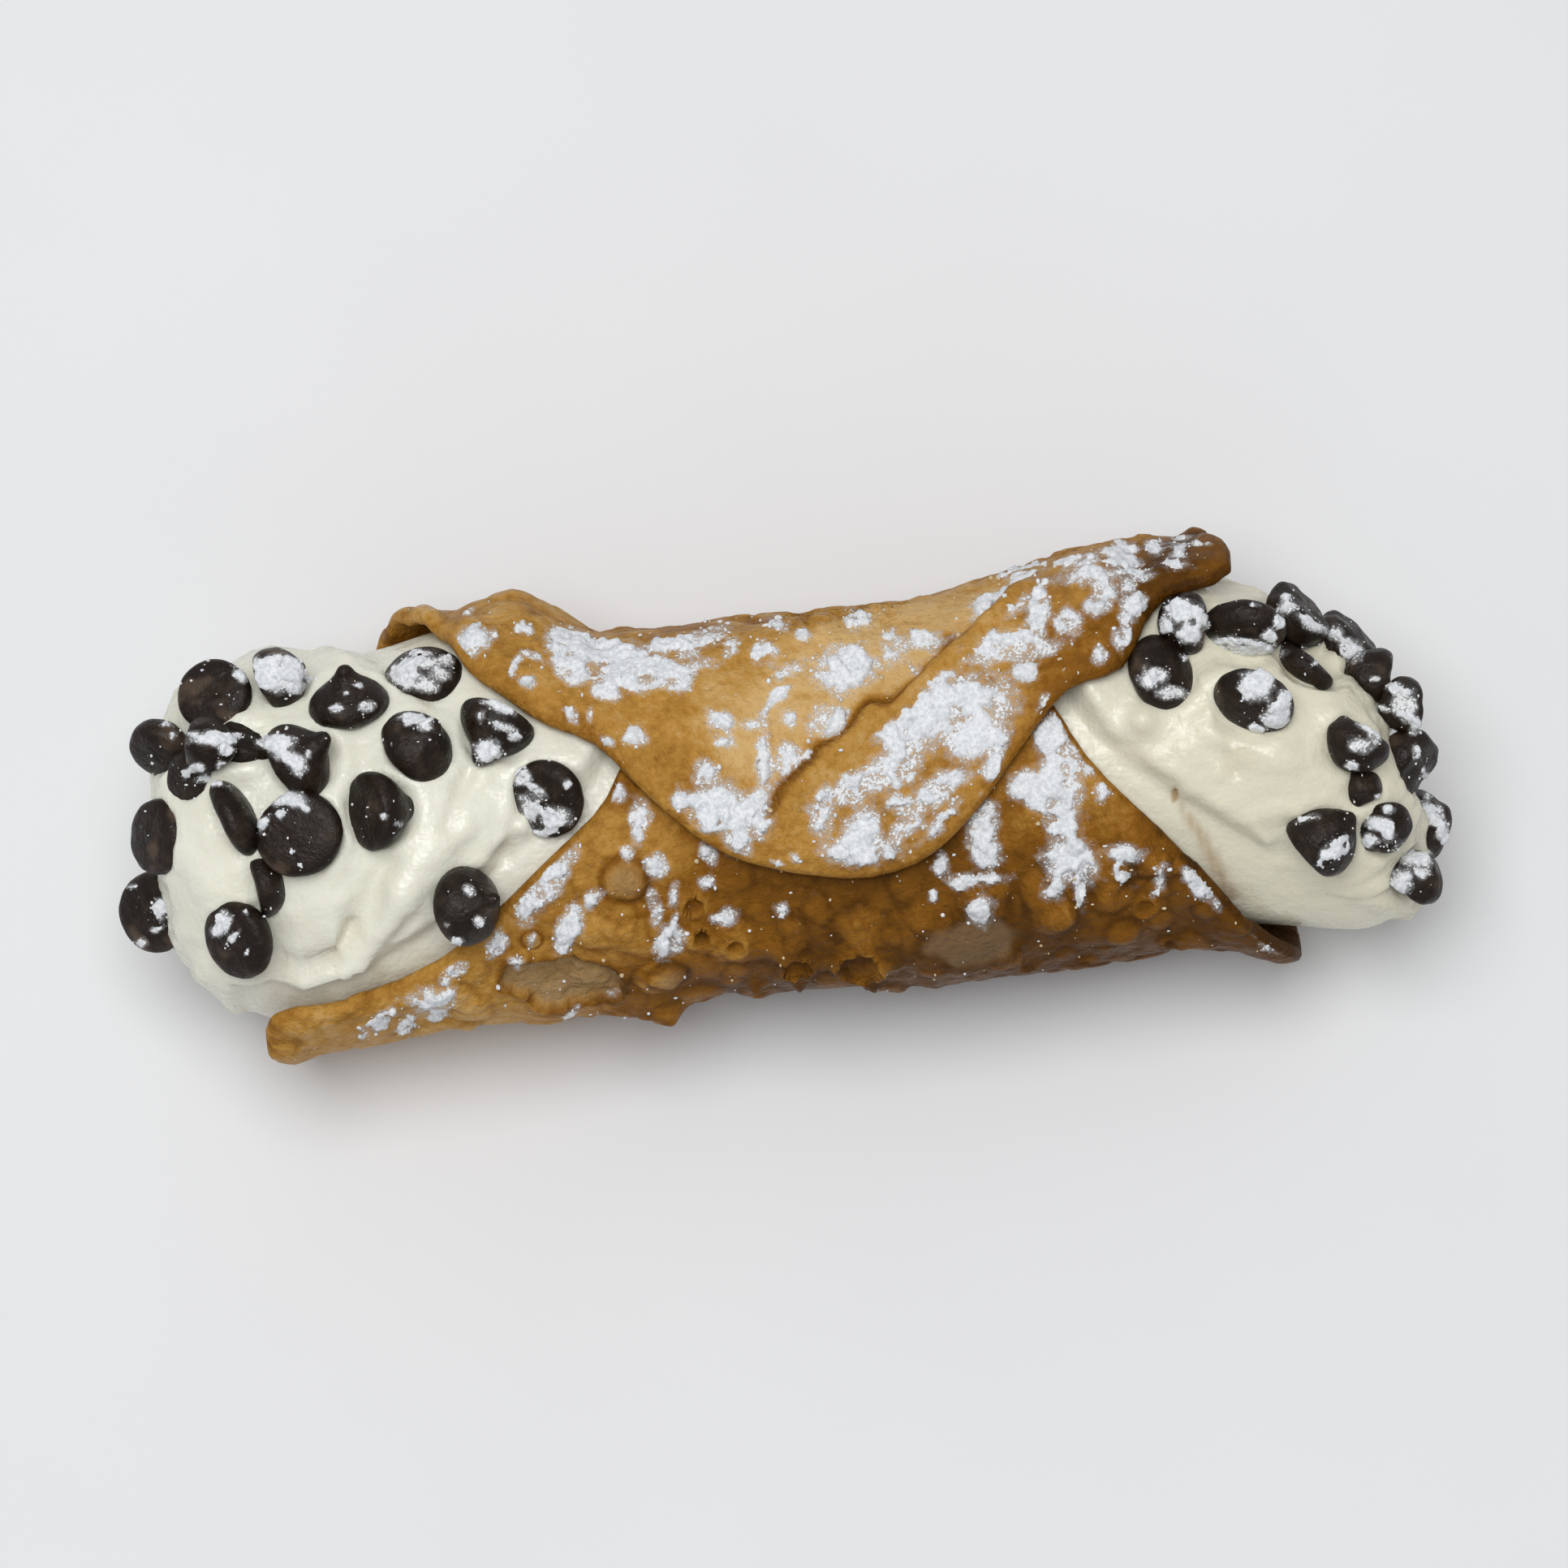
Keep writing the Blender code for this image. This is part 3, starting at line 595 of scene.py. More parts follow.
class Graph:
    """Adds nodes to one node tree, a call a node."""

    def __init__(self, tree: bpy.types.NodeTree) -> None:
        """Keep the tree that the nodes go into."""
        self.tree = tree

    def fill(self, node: bpy.types.Node, inputs: dict[str | int, object]) -> None:
        """Join each input of a node to a socket, or set it to a constant."""
        for name, value in inputs.items():
            if isinstance(value, Socket):
                self.tree.links.new(value, node.inputs[name])
            else:
                node.inputs[name].default_value = value

    def add(self, kind: str, inputs: dict[str | int, object], output: str | int = 0,
            **settings: object) -> Socket:
        """Add a shader node, set its properties, and set or join its inputs.

        Args:
            kind: the node's type, after the word ShaderNode.
            inputs: a socket to join or a constant, by the input's name or number.
            output: name or number of the output that is wanted.
            settings: the node's own properties.

        Returns:
            The output's socket.
        """
        node = self.tree.nodes.new("ShaderNode" + kind)
        for name, value in settings.items():
            setattr(node, name, value)
        self.fill(node, inputs)
        return node.outputs[output]

    def millimetres(self) -> Socket:
        """Return the place on the object, in millimetres."""
        place = self.add("TexCoord", {}, "Object")
        return self.add("Mapping", {"Vector": place, "Scale": (1 / MM, 1 / MM, 1 / MM)})

    def mark(self, name: str) -> Socket:
        """Return a value that the mesh carries, by its attribute's name."""
        return self.add("Attribute", {}, "Fac", attribute_name=name)

    def noise(self, place: Socket, pitch: float, detail: float = 3, roughness: float = 0.55) -> Socket:
        """Return noise from 0 to 1 with features of about the pitch, in millimetres."""
        return self.add("TexNoise", {"Vector": place, "Scale": 1 / pitch, "Detail": detail,
                                     "Roughness": roughness})

    def math(self, operation: str, first: Socket | float, second: Socket | float) -> Socket:
        """Return the result of an operation on two values."""
        return self.add("Math", {0: first, 1: second}, operation=operation)

    def spread(self, value: Socket, low: float, high: float, start: float = 0, end: float = 1) -> Socket:
        """Return the value moved smoothly from the span low to high onto the span start to end."""
        inputs = {"Value": value, "From Min": low, "From Max": high, "To Min": start, "To Max": end}
        return self.add("MapRange", inputs, interpolation_type="SMOOTHSTEP")

    def mix(self, share: Socket, first: Socket | tuple, second: tuple) -> Socket:
        """Return a colour mixed with another colour by a share from 0 to 1."""
        first = first if isinstance(first, Socket) else (*first, 1)
        return self.add("Mix", {0: share, 6: first, 7: (*second, 1)}, 2, data_type="RGBA")

    def ramp(self, share: Socket, stops: Sequence[tuple[float, tuple]]) -> Socket:
        """Return a colour read off a ramp of stops.

        Args:
            share: where on the ramp to read.
            stops: place and colour of each stop.

        Returns:
            The colour's socket.
        """
        colour = self.add("ValToRGB", {"Fac": share}, "Color")
        elements = colour.node.color_ramp.elements
        while len(elements) < len(stops):
            elements.new(0.5)
        for element, (place, stop) in zip(elements, stops):
            element.position = place
            element.color = (*stop, 1)
        return colour

    def dust(self, dusting: bpy.types.NodeTree, place: Socket) -> Socket:
        """Return the share of fine sugar, by the mesh's sugar mark."""
        return self.add("Group", {"Place": place, "Amount": self.mark("sugar")}, node_tree=dusting)

    def bump(self, grain: bpy.types.NodeTree, place: Socket, fineness: float, strength: float,
             distance: float, dust: Socket | None = None, dust_height: float = 0.0) -> Socket:
        """Return normals roughened by the fine grain and by dust on it.

        Args:
            grain: the group for fine grain.
            place: the place in millimetres.
            fineness: the grain's features in a millimetre.
            strength: how strong the bump is.
            distance: how tall it is, in metres.
            dust: the share of dust.
            dust_height: how far dust stands up, in heights of the grain.

        Returns:
            The normals' socket.
        """
        height = self.add("Group", {"Place": place, "Fineness": fineness}, node_tree=grain)
        if dust is not None:
            height = self.math("ADD", height, self.math("MULTIPLY", dust, dust_height))
        return self.add("Bump", {"Strength": strength, "Distance": distance, "Height": height})


def new_group(name: str, inputs: dict[str, str], output: str) -> tuple[Graph, dict[str, Socket], Socket]:
    """Start a shader node group that puts out one value.

    Args:
        name: the group's name.
        inputs: kind of each input socket, by name.
        output: the output's name.

    Returns:
        A graph on the group, the sockets of what it is given and the socket for its result.
    """
    tree = bpy.data.node_groups.new(name, "ShaderNodeTree")
    for socket, kind in inputs.items():
        tree.interface.new_socket(name=socket, in_out="INPUT", socket_type="NodeSocket" + kind)
    tree.interface.new_socket(name=output, in_out="OUTPUT", socket_type="NodeSocketFloat")
    given, result = tree.nodes.new("NodeGroupInput"), tree.nodes.new("NodeGroupOutput")
    return Graph(tree), {socket: given.outputs[socket] for socket in inputs}, result.inputs[output]


def sugar_dusting() -> bpy.types.NodeTree:
    """Make the group for sugar too fine to model: a thin veil, and speckles where there is more.

    The veil grows with the amount and a coarse noise. The speckles are 1 where the amount, lifted
    or lowered by a coarse and a fine noise, passes a half.

    Returns:
        The group, with the place and the amount as inputs and the mask as output.
    """
    graph, given, mask = new_group("sugar dusting", {"Place": "Vector", "Amount": "Float"}, "Mask")
    coarse = graph.noise(given["Place"], 1.6)
    fine = graph.noise(given["Place"], 0.34, 3, 0.7)
    lift = graph.math("ADD", graph.math("MULTIPLY", coarse, 1.1), graph.math("MULTIPLY", fine, 1.9))
    total = graph.math("ADD", given["Amount"], graph.math("SUBTRACT", lift, 1.5))
    clouded = graph.math("ADD", given["Amount"], graph.math("SUBTRACT", coarse, 0.5))
    veil, speckles = graph.spread(clouded, 0.25, 0.9, 0, 0.42), graph.spread(total, 0.60, 0.80)
    graph.tree.links.new(graph.math("MAXIMUM", veil, speckles), mask)
    return graph.tree


def fine_grain() -> bpy.types.NodeTree:
    """Make the group for a fine uneven grain: two noises, the second a third of the first's pitch.

    Returns:
        The group, with the place and the fineness as inputs and the height as output.
    """
    graph, given, height = new_group("fine grain", {"Place": "Vector", "Fineness": "Float"}, "Height")
    heights = []
    for share in (1.0, 3.1):
        scale = graph.math("MULTIPLY", given["Fineness"], share)
        noise = graph.add("TexNoise", {"Vector": given["Place"], "Scale": scale, "Detail": 2,
                                       "Roughness": 0.5})
        heights.append(graph.math("MULTIPLY", noise, 1 / share))
    graph.tree.links.new(graph.math("ADD", *heights), height)
    return graph.tree


def new_material(name: str) -> tuple[bpy.types.Material, Graph, bpy.types.Node]:
    """Start a material.

    Args:
        name: the material's name.

    Returns:
        The material, a graph on its nodes and its shader.
    """
    material = bpy.data.materials.new(name)
    material.use_nodes = True
    return material, Graph(material.node_tree), material.node_tree.nodes["Principled BSDF"]


@dataclass(frozen=True)
class FriedDough:
    """Fried dough: pale gold to dark brown by toast and painted shade, with fine pores and a dull shine."""

    pale: tuple = (0.60, 0.385, 0.155)
    gold: tuple = (0.445, 0.228, 0.045)
    brown: tuple = (0.235, 0.094, 0.009)
    dark: tuple = (0.060, 0.022, 0.002)
    grey: tuple = (0.22, 0.155, 0.092)
    sugar: tuple = (0.78, 0.79, 0.80)
    roughness: float = 0.38
    glassy: float = 1.33
    specular: float = 0.13
    mottle: float = 0.09

    def material(self, dusting: bpy.types.NodeTree, grain: bpy.types.NodeTree) -> bpy.types.Material:
        """Build the finish: a ramp read by noise and by toast with painted shade, greyed and dusted by
        marks.

        Args:
            dusting: the group for fine sugar.
            grain: the group for fine grain.

        Returns:
            The material.
        """
        material, graph, shader = new_material("fried_dough")
        # The toast mark holds the browning and the shade painted on it.
        place, toasted_and_shaded = graph.millimetres(), graph.mark("toast_and_shade")
        cloudy = graph.spread(graph.noise(place, 5.0, 5, 0.6), 0.3, 0.7, -self.mottle, self.mottle)
        speckled = graph.spread(graph.noise(place, 1.1, 4, 0.65), 0.3, 0.7, -self.mottle, self.mottle)
        swing = graph.spread(toasted_and_shaded, 0.4, 0.85, 1, 0.35)
        uneven = graph.math("MULTIPLY", swing, graph.math("ADD", cloudy, speckled))
        crust = graph.ramp(graph.math("ADD", toasted_and_shaded, uneven), (
            (0.0, self.pale), (0.33, self.gold), (0.66, self.brown), (1.0, self.dark)))
        dust = graph.dust(dusting, place)
        shine = graph.spread(graph.noise(place, 2.2, 2), 0.3, 0.7, self.roughness - 0.08,
                             self.roughness + 0.12)
        graph.fill(shader, {
            "Base Color": graph.mix(dust, graph.mix(graph.mark("grey"), crust, self.grey), self.sugar),
            "Roughness": graph.math("ADD", shine, graph.math("MULTIPLY", dust, 0.35)),
            "Normal": graph.bump(grain, place, 1.1, 0.75, 0.0006, dust, 0.5),
            "IOR": self.glassy, "Specular IOR Level": self.specular})
        return material


@dataclass(frozen=True)
class RicottaCream:
    """Sweet ricotta cream: warm white, yellower at the right end, with painted shade in its creases."""

    white: tuple = (0.80, 0.79, 0.675)
    shade: tuple = (0.74, 0.715, 0.57)
    right_end_tint: tuple = (0.71, 0.67, 0.51)
    # Colour of the painted shade laid in the cream's creases.
    tan: tuple = (0.42, 0.29, 0.16)
    roughness: float = 0.30
    depth: float = 0.0018

    def material(self, grain: bpy.types.NodeTree) -> bpy.types.Material:
        """Build the finish: white mixed with a warmer shade by noise and with painted crease shade by a
        mark.

        Args:
            grain: the group for fine grain.

        Returns:
            The material.
        """
        material, graph, shader = new_material("ricotta_cream")
        place = graph.millimetres()
        cloudy = graph.spread(graph.noise(place, 7), 0.35, 0.75, 0, 0.5)
        rightward = graph.spread(graph.add("SeparateXYZ", {0: place}), 25, 50, 0, 0.75)
        # Towards the right end the cream is mixed with a darker, yellower colour.
        colour = graph.mix(rightward, graph.mix(cloudy, self.white, self.shade), self.right_end_tint)
        graph.fill(shader, {
            "Base Color": graph.mix(graph.mark("tan"), colour, self.tan),
            "Roughness": graph.spread(graph.noise(place, 1.1, 2), 0.3, 0.7, self.roughness - 0.1,
                                      self.roughness + 0.14),
            "Normal": graph.bump(grain, place, 0.55, 0.45, 0.0005),
            "Subsurface Weight": 0.2, "Subsurface Radius": (1.0, 0.75, 0.5),
            "Subsurface Scale": self.depth, "Specular IOR Level": 0.45})
        return material


@dataclass(frozen=True)
class DarkChocolate:
    """Dark chocolate: nearly black, satin, greyed by bloom and scuffs."""

    dark: tuple = (0.0120, 0.0068, 0.0040)
    bloom: tuple = (0.085, 0.056, 0.037)
    sugar: tuple = (0.78, 0.79, 0.80)
    roughness: float = 0.40

    def material(self, dusting: bpy.types.NodeTree, grain: bpy.types.NodeTree) -> bpy.types.Material:
        """Build the finish: dark mixed with bloom by noise and a scuff mark, dusted by a mark.

        Args:
            dusting: the group for fine sugar.
            grain: the group for fine grain.

        Returns:
            The material.
        """
        material, graph, shader = new_material("dark_chocolate")
        place = graph.millimetres()
        cloudy = graph.spread(graph.noise(place, 2.4, 5, 0.65), 0.45, 0.75, 0, 0.3)
        scuffed = graph.math("ADD", cloudy, graph.mark("scuff"))
        dust = graph.dust(dusting, place)
        shine = graph.spread(graph.noise(place, 1.6), 0.3, 0.7, self.roughness - 0.08,
                             self.roughness + 0.16)
        graph.fill(shader, {
            "Base Color": graph.mix(dust, graph.mix(scuffed, self.dark, self.bloom), self.sugar),
            "Roughness": graph.math("ADD", shine, graph.math("MULTIPLY", dust, 0.4)),
            "Normal": graph.bump(grain, place, 1.8, 0.45, 0.0004, dust, 0.6),
            "Specular IOR Level": 0.22})
        return material


@dataclass(frozen=True)
class SugarFinish:
    """Powdered sugar or dough crumbs: dull grains, a little lit from within."""

    name: str = "powdered_sugar"
    bright: tuple = (0.83, 0.845, 0.86)
    dull: tuple = (0.62, 0.64, 0.67)

    def material(self, grain: bpy.types.NodeTree) -> bpy.types.Material:
        """Build the finish: bright and dull grains mixed by noise, with a grainy bump.

        Args:
            grain: the group for fine grain.

        Returns:
            The material.
        """
        material, graph, shader = new_material(self.name)
        place = graph.millimetres()
        share = graph.spread(graph.noise(place, 0.5, 3, 0.7), 0.35, 0.65)
        graph.fill(shader, {
            "Base Color": graph.mix(share, self.bright, self.dull),
            "Normal": graph.bump(grain, place, 3.2, 0.6, 0.0002),
            "Roughness": 0.95, "Specular IOR Level": 0.2, "Subsurface Weight": 0.15,
            "Subsurface Radius": (1.0, 1.0, 1.0), "Subsurface Scale": 0.0004})
        return material


@dataclass(frozen=True)
class PaleFloor:
    """A plain pale floor with a faint mottle."""

    light: tuple = (0.785, 0.79, 0.80)
    shade: tuple = (0.745, 0.75, 0.76)

    def material(self) -> bpy.types.Material:
        """Build the finish: two near greys mixed by wide noise."""
        material, graph, shader = new_material("pale_floor")
        share = graph.noise(graph.millimetres(), 60)
        graph.fill(shader, {"Base Color": graph.mix(share, self.light, self.shade), "Roughness": 0.7,
                            "Specular IOR Level": 0.2})
        return material


# The dough

class Swell(NamedTuple):
    """A swelling that eases in along the tube and is a lobe round it."""

    height: float
    starts: float
    full: float
    middle: float
    width: float


class Blister(NamedTuple):
    """A round rise or hollow in the dough: its place, half sizes along and round, and height."""

    along: float
    angle: float
    width: float
    girth: float
    height: float


class Crater(NamedTuple):
    """A burst blister: its place, radius, the height of its ring and the depth of its middle."""

    along: float
    angle: float
    radius: float
    ring: float
    depth: float


def swell_sum(along: Array, angle: Array, swells: Sequence[Swell]) -> Array:
    """Sum swells: each is its height × the ease along the tube × the lobe round it."""
    return sum(swell.height * ease(swell.starts, swell.full, along) * lobe(angle, swell.middle, swell.width)
               for swell in swells)


@dataclass
class DoughRound:
    """The round of fried dough, rolled into a tube whose two ends lap on top.

    Its form is the solid's: a tube radius with swells, a fold, blisters and the long torn blister.
    The finer relief that only the looks have is added by detail().

    A belly is a height, a place and width along the tube, and a middle and width round it. The
    fold line is the crest's place along, the degrees at which it lies there, and its lean. The
    layers are the degrees round that sugar can reach on the outer and on the inner flap.
    """

    radius: float = 22.7
    axis_height: float = 22.0
    thickness: float = 1.9
    lap_gap: float = 0.5
    flap_dip: float = 0.6
    centre: tuple[float, float] = (4.0, -3.0)
    rim_blur: float = 2.0
    rim: Sequence[tuple[float, float]] = (
        (-20, 175), (-14.5, 191), (-8, 205), (3.5, 214), (9, 216), (14.5, 213), (22, 200), (26, 189),
        (30, 178), (34.5, 168), (42, 165), (45, 150), (48, 141), (54.5, 140), (57, 137), (57.5, 128),
        (55, 112), (54, 90), (57, 45), (60, 0), (61.5, -50), (60.5, -88), (57.4, -98), (52.3, -116),
        (46.4, -139), (41.6, -155), (38.2, -165), (34.3, -180), (33, -193), (26, -207), (14, -219),
        (4, -222), (-8, -216), (-16, -201), (-20, -186), (-21.6, -176), (-27, -165), (-34.5, -149),
        (-40, -135), (-45, -127), (-50, -120), (-57, -117), (-63, -119), (-66, -117), (-66.5, -100),
        (-65.5, -80), (-64, -40), (-61, 0), (-54, 40), (-48.5, 80), (-46, 100), (-42, 115),
        (-39, 126), (-37, 140), (-33.7, 148), (-28, 160), (-22.5, 166))
    swells: Sequence[Swell] = records(
        Swell, (5.4, -19, -31, 104, 36), (-1.8, -38, -50, 104, 36), (2.0, -45, -62, -85, 48),
        (3.8, 16, 42, 108, 44), (3.8, 46, 61, -85, 36), (0.8, 30, 55, 0, 60))
    bellies: Sequence[tuple[float, ...]] = ((0.9, -28, 12, -85, 45), (2.1, 24, 24, -88, 48))
    fold_size: tuple[float, float] = (1.8, 5.0)
    fold_line: tuple[float, float, float] = (36.0, 165.0, 0.10)
    blisters: Sequence[Blister] = records(
        Blister, (-20.8, -151, 3.2, 3.2, 0.7), (6.2, -110, 4.0, 3.4, 0.9), (20.0, -106, 6.5, 3.2, 0.9),
        (-29.0, -114, 7.0, 5.5, -1.1), (-19.0, -90, 3.5, 3.5, 1.3), (30.4, -125, 3.2, 3.2, 0.7),
        (37.6, -111, 3.4, 3.0, 0.8), (39.8, -142, 3.0, 3.0, 0.9), (-1.3, -111, 3.0, 3.0, 0.8),
        (-16.0, 139, 8.5, 5.0, -0.8), (9.0, 192, 4.0, 4.0, 0.5), (24.0, 118, 5.0, 5.0, 0.7),
        (-40.0, -108, 4.0, 4.0, 0.8), (50.0, -100, 4.5, 4.0, 0.7))
    small_blisters: int = 70
    small_round: tuple[float, float] = (-135, 212)
    small_widths: tuple[float, float] = (2.4, 4.0)
    small_heights: tuple[float, float] = (0.2, 0.5)
    blister_seed: int = 7
    craters: Sequence[Crater] = records(
        Crater, (-12.8, -139, 1.4, 0.55, 0.5), (-12.5, -127, 1.3, 0.5, 0.5), (-8.4, -123, 1.3, 0.5, 0.5),
        (-1.3, -111, 1.9, 0.7, 0.9), (6.2, -110, 2.8, 0.75, 0.7), (30.4, -124, 1.8, 0.4, 0.35),
        (41.4, -121, 1.4, 0.4, 0.3), (34.0, -92, 1.5, 0.4, 0.35), (44.8, -100, 1.5, 0.4, 0.3),
        (27.0, -98, 1.2, 0.35, 0.3))
    dents: Sequence[Blister] = records(
        Blister, (-38.5, 108, 1.8, 5.0, -1.3), (-31.0, 103, 4.0, 3.0, 0.9), (-44.5, 104, 3.0, 4.0, 0.6),
        (45.5, 130, 2.2, 5.0, -1.2), (-46.9, -115, 2.5, 2.0, 0.6), (-55.2, -106, 3.0, 2.0, 0.6),
        (-6.5, -98, 0.8, 1.2, 1.2), (-1.1, -97, 0.8, 1.2, 1.2), (7.8, -90, 0.9, 1.2, 1.2),
        (-17.0, -89, 1.4, 1.6, 1.3))
    tear_start: tuple[float, float] = (-3.4, 193.0)
    tear_end: tuple[float, float] = (32.2, 128.0)
    tear_depth: float = 0.8
    burst: Blister = Blister(-29.5, -113.0, 7.4, 4.6, 0.8)
    skins: Sequence[Blister] = records(
        Blister, (-20.8, -151, 2.7, 2.7, 1.0), (31.0, -124, 2.4, 2.1, 0.8), (37.6, -127, 2.7, 2.4, 0.9),
        (42.6, -137, 2.3, 2.1, 0.7), (32.2, -137, 2.5, 2.1, 0.7), (38.5, -112, 2.4, 2.2, 0.8),
        (-16.8, -112, 2.4, 2.2, 0.8), (-32.8, -134, 1.2, 1.2, 0.35))
    grey_oval: Blister = Blister(20.2, -115.5, 5.8, 3.4, 0.0)
    box: tuple[float, float] = (54.0, 74.0)
    rows: int = 264
    columns: int = 236
    edge_rings: int = 5
    inner_rings: int = 18
    toasted_inside: float = 0.12
    pole_toast: float = 0.4
    span: tuple[float, float] = (-66, 62)
    layers: Sequence[tuple[float, float]] = ((80, 219), (-224, -55))
    coarse: LatticeNoise = LatticeNoise(3)
    fine: LatticeNoise = LatticeNoise(5)
    ragged: LatticeNoise = LatticeNoise(8)
    _directions: Array = field(init=False, repr=False)
    _reaches: Array = field(init=False, repr=False)
    _all_blisters: list[Blister] = field(init=False, repr=False)

    def __post_init__(self) -> None:
        """Turn the rim into reach by direction, and draw the small blisters."""
        right, up = self.from_centre(*np.array(self.rim, dtype=float).T)
        direction, reach = np.degrees(np.arctan2(up, right)) % 360, np.hypot(right, up)
        order = np.argsort(direction)
        direction, reach = direction[order], reach[order]
        self._directions = np.concatenate([direction[-1:] - 360, direction, direction[:1] + 360])
        self._reaches = np.concatenate([reach[-1:], reach, reach[:1]])
        draw = random.Random(self.blister_seed)
        small: list[Blister] = []
        while len(small) < self.small_blisters:
            along, angle = draw.uniform(*self.span), draw.uniform(*self.small_round)
            width, height = draw.uniform(*self.small_widths), draw.uniform(*self.small_heights)
            if self.past_rim(np.array(along), np.array(angle)) < -width - 1:
                small.append(Blister(along, angle, width, width, height))
        self._all_blisters = [*self.blisters, *small]

    @property
    def mm_per_degree(self) -> float:
        """Millimetres round the tube for each degree."""
        return self.radius * np.pi / 180

    def arc(self, angle: Array, middle: float) -> Array:
        """Return the millimetres round the tube from a middle to each angle."""
        return (angle - middle) * self.mm_per_degree

    def flat(self, along: Array, angle: Array) -> Array:
        """Return places on the dough laid flat, in millimetres."""
        return np.stack([along, angle * self.mm_per_degree], -1)

    def from_centre(self, along: Array, angle: Array) -> tuple[Array, Array]:
        """Return the millimetres to the right of the centre and up from it, on the dough laid flat."""
        return along - self.centre[0], self.arc(angle, self.centre[1])

    def placed(self, right: Array, up: Array) -> tuple[Array, Array]:
        """Return the millimetres along and degrees round of places counted from the centre."""
        return self.centre[0] + right, self.centre[1] + up / self.mm_per_degree

    def reach(self, direction: Array) -> Array:
        """Return how far the rim is from the centre in a direction, its corners softened."""
        shifts = ((-self.rim_blur, 0.25), (0, 0.5), (self.rim_blur, 0.25))
        return sum(weight * np.interp((direction + shift) % 360, self._directions, self._reaches)
                   for shift, weight in shifts)

    def past_rim(self, along: Array, angle: Array) -> Array:
        """Return the millimetres beyond the rim, negative on the dough."""
        right, up = self.from_centre(along, angle)
        return np.hypot(right, up) - self.reach(np.degrees(np.arctan2(up, right)) % 360)

    def away_from(self, along: Array, angle: Array, oval: Blister, slant: float = 0) -> Array:
        """Return the distance from an oval's middle in its own half sizes, 1 on its edge."""
        onward = along - oval.along
        return np.hypot(onward / oval.width, (self.arc(angle, oval.angle) - slant * onward) / oval.girth)

    def rises(self, along: Array, angle: Array, blisters: Sequence[Blister]) -> Array:
        """Sum blisters: each is its height × a bell along the tube × a bell round it."""
        return sum(blister.height * hump(along, blister.along, blister.width)
                   * hump(self.arc(angle, blister.angle), 0, blister.girth) for blister in blisters)

    def lap(self, angle: Array) -> Array:
        """Return how far the outer flap rides out over the inner one, which is pressed in."""
        ride = (self.thickness + self.lap_gap - self.flap_dip) * ease(108, 140, angle)
        return ride - self.flap_dip * ease(-112, -142, angle)

    def flare(self, along: Array, angle: Array) -> Array:
        """Return how far the tube departs from a plain one: its swells, bellies and fold."""
        height = swell_sum(along, angle, self.swells)
        for tall, middle, width, turn, girth in self.bellies:
            height = height + tall * hump(along, middle, width) * lobe(angle, turn, girth)
        tall, width = self.fold_size
        fades = ease(95, 135, angle) * ease(185, 168, angle)
        return height + tall * hump(along, self.fold_crest(angle), width) * fades

    def fold_crest(self, angle: Array) -> Array:
        """Return where the leaning crest of the fold is along the tube."""
        place, turn, lean = self.fold_line
        return place + (turn - angle) * lean

    def tear(self, along: Array, angle: Array) -> tuple[Array, Array]:
        """Place points against the long tear.

        Args:
            along: millimetres along the tube.
            angle: degrees round it.

        Returns:
            Millimetres to the sunken side of the tear's ragged line, and the share left after the
            tear fades out at its two ends.
        """
        run, rise = self.tear_end[0] - self.tear_start[0], self.arc(self.tear_end[1], self.tear_start[1])
        length = np.hypot(run, rise)
        right, up = along - self.tear_start[0], self.arc(angle, self.tear_start[1])
        wander = 1.7 * self.ragged.fractal(self.flat(along, angle), 5.0, 2)
        onward = (run * right + rise * up) / length
        inside = ease(-3, 3, onward) * ease(length + 3, length - 3, onward)
        return (rise * right - run * up) / length - wander, inside

    def relief(self, along: Array, angle: Array) -> Array:
        """Return the height of the blisters, hollows and the long tear."""
        beside, inside = self.tear(along, angle)
        raised_edge = 0.55 * hump(beside, -1.6, 1.8) * ease(0.3, -0.2, beside)
        sunken = ease(-0.25, 0.3, beside) * ease(15, 8, beside)
        height = self.rises(along, angle, self._all_blisters)
        return height + self.tear_depth * inside * (raised_edge - sunken)

    def body(self, along: Array, angle: Array) -> Array:
        """Return the radius of the outer face without its fine detail."""
        return self.radius + self.flare(along, angle) + self.lap(angle) + self.relief(along, angle)

    def covered(self, along: Array, angle: Array) -> Array:
        """Return 1 where the outer flap lies over the inner one, 0 elsewhere."""
        return ease(0.5, -1.0, self.past_rim(along, angle + 360))

    def takes_sugar(self, along: Array, angle: Array) -> Array:
        """Return 0 on the raised edge of the tear, which the sugar left bare, and 1 elsewhere."""
        beside, inside = self.tear(along, angle)
        return 1 - 0.85 * inside * ease(-3.6, -2.2, beside) * ease(0.9, 0.2, beside)

    def burst_share(self, along: Array, angle: Array) -> Array:
        """Return the distance from the middle of the burst hollow, 1 on its ragged edge."""
        wander = 0.28 * self.ragged.fractal(self.flat(along, angle), 2.4, 3)
        return self.away_from(along, angle, self.burst, 0.25) + wander

    def crater_parts(self, along: Array, angle: Array) -> tuple[Array, Array]:
        """Work out the burst blisters.

        Args:
            along: millimetres along the tube.
            angle: degrees round it.

        Returns:
            Their height, a ring about a hollow, and how far inside a ring each point is.
        """
        height, within = np.zeros(np.shape(along)), np.zeros(np.shape(along))
        wander = 0.25 * self.ragged.smooth(self.flat(along, angle), 0.9)
        for crater in self.craters:
            away = np.hypot(along - crater.along, self.arc(angle, crater.angle)) + wander
            inside = ease(crater.radius - 0.1, crater.radius - 0.8, away)
            height += crater.ring * hump(away, crater.radius, 0.42) - crater.depth * inside
            within = np.maximum(within, inside)
        return height, within

    def creases(self, flat: Array) -> Array:
        """Return how far places are from the dough's wrinkles, which lie where a noise is 0."""
        return np.abs(self.ragged.fractal(flat * np.array([1.0, 1.35]), 7.5, 2))

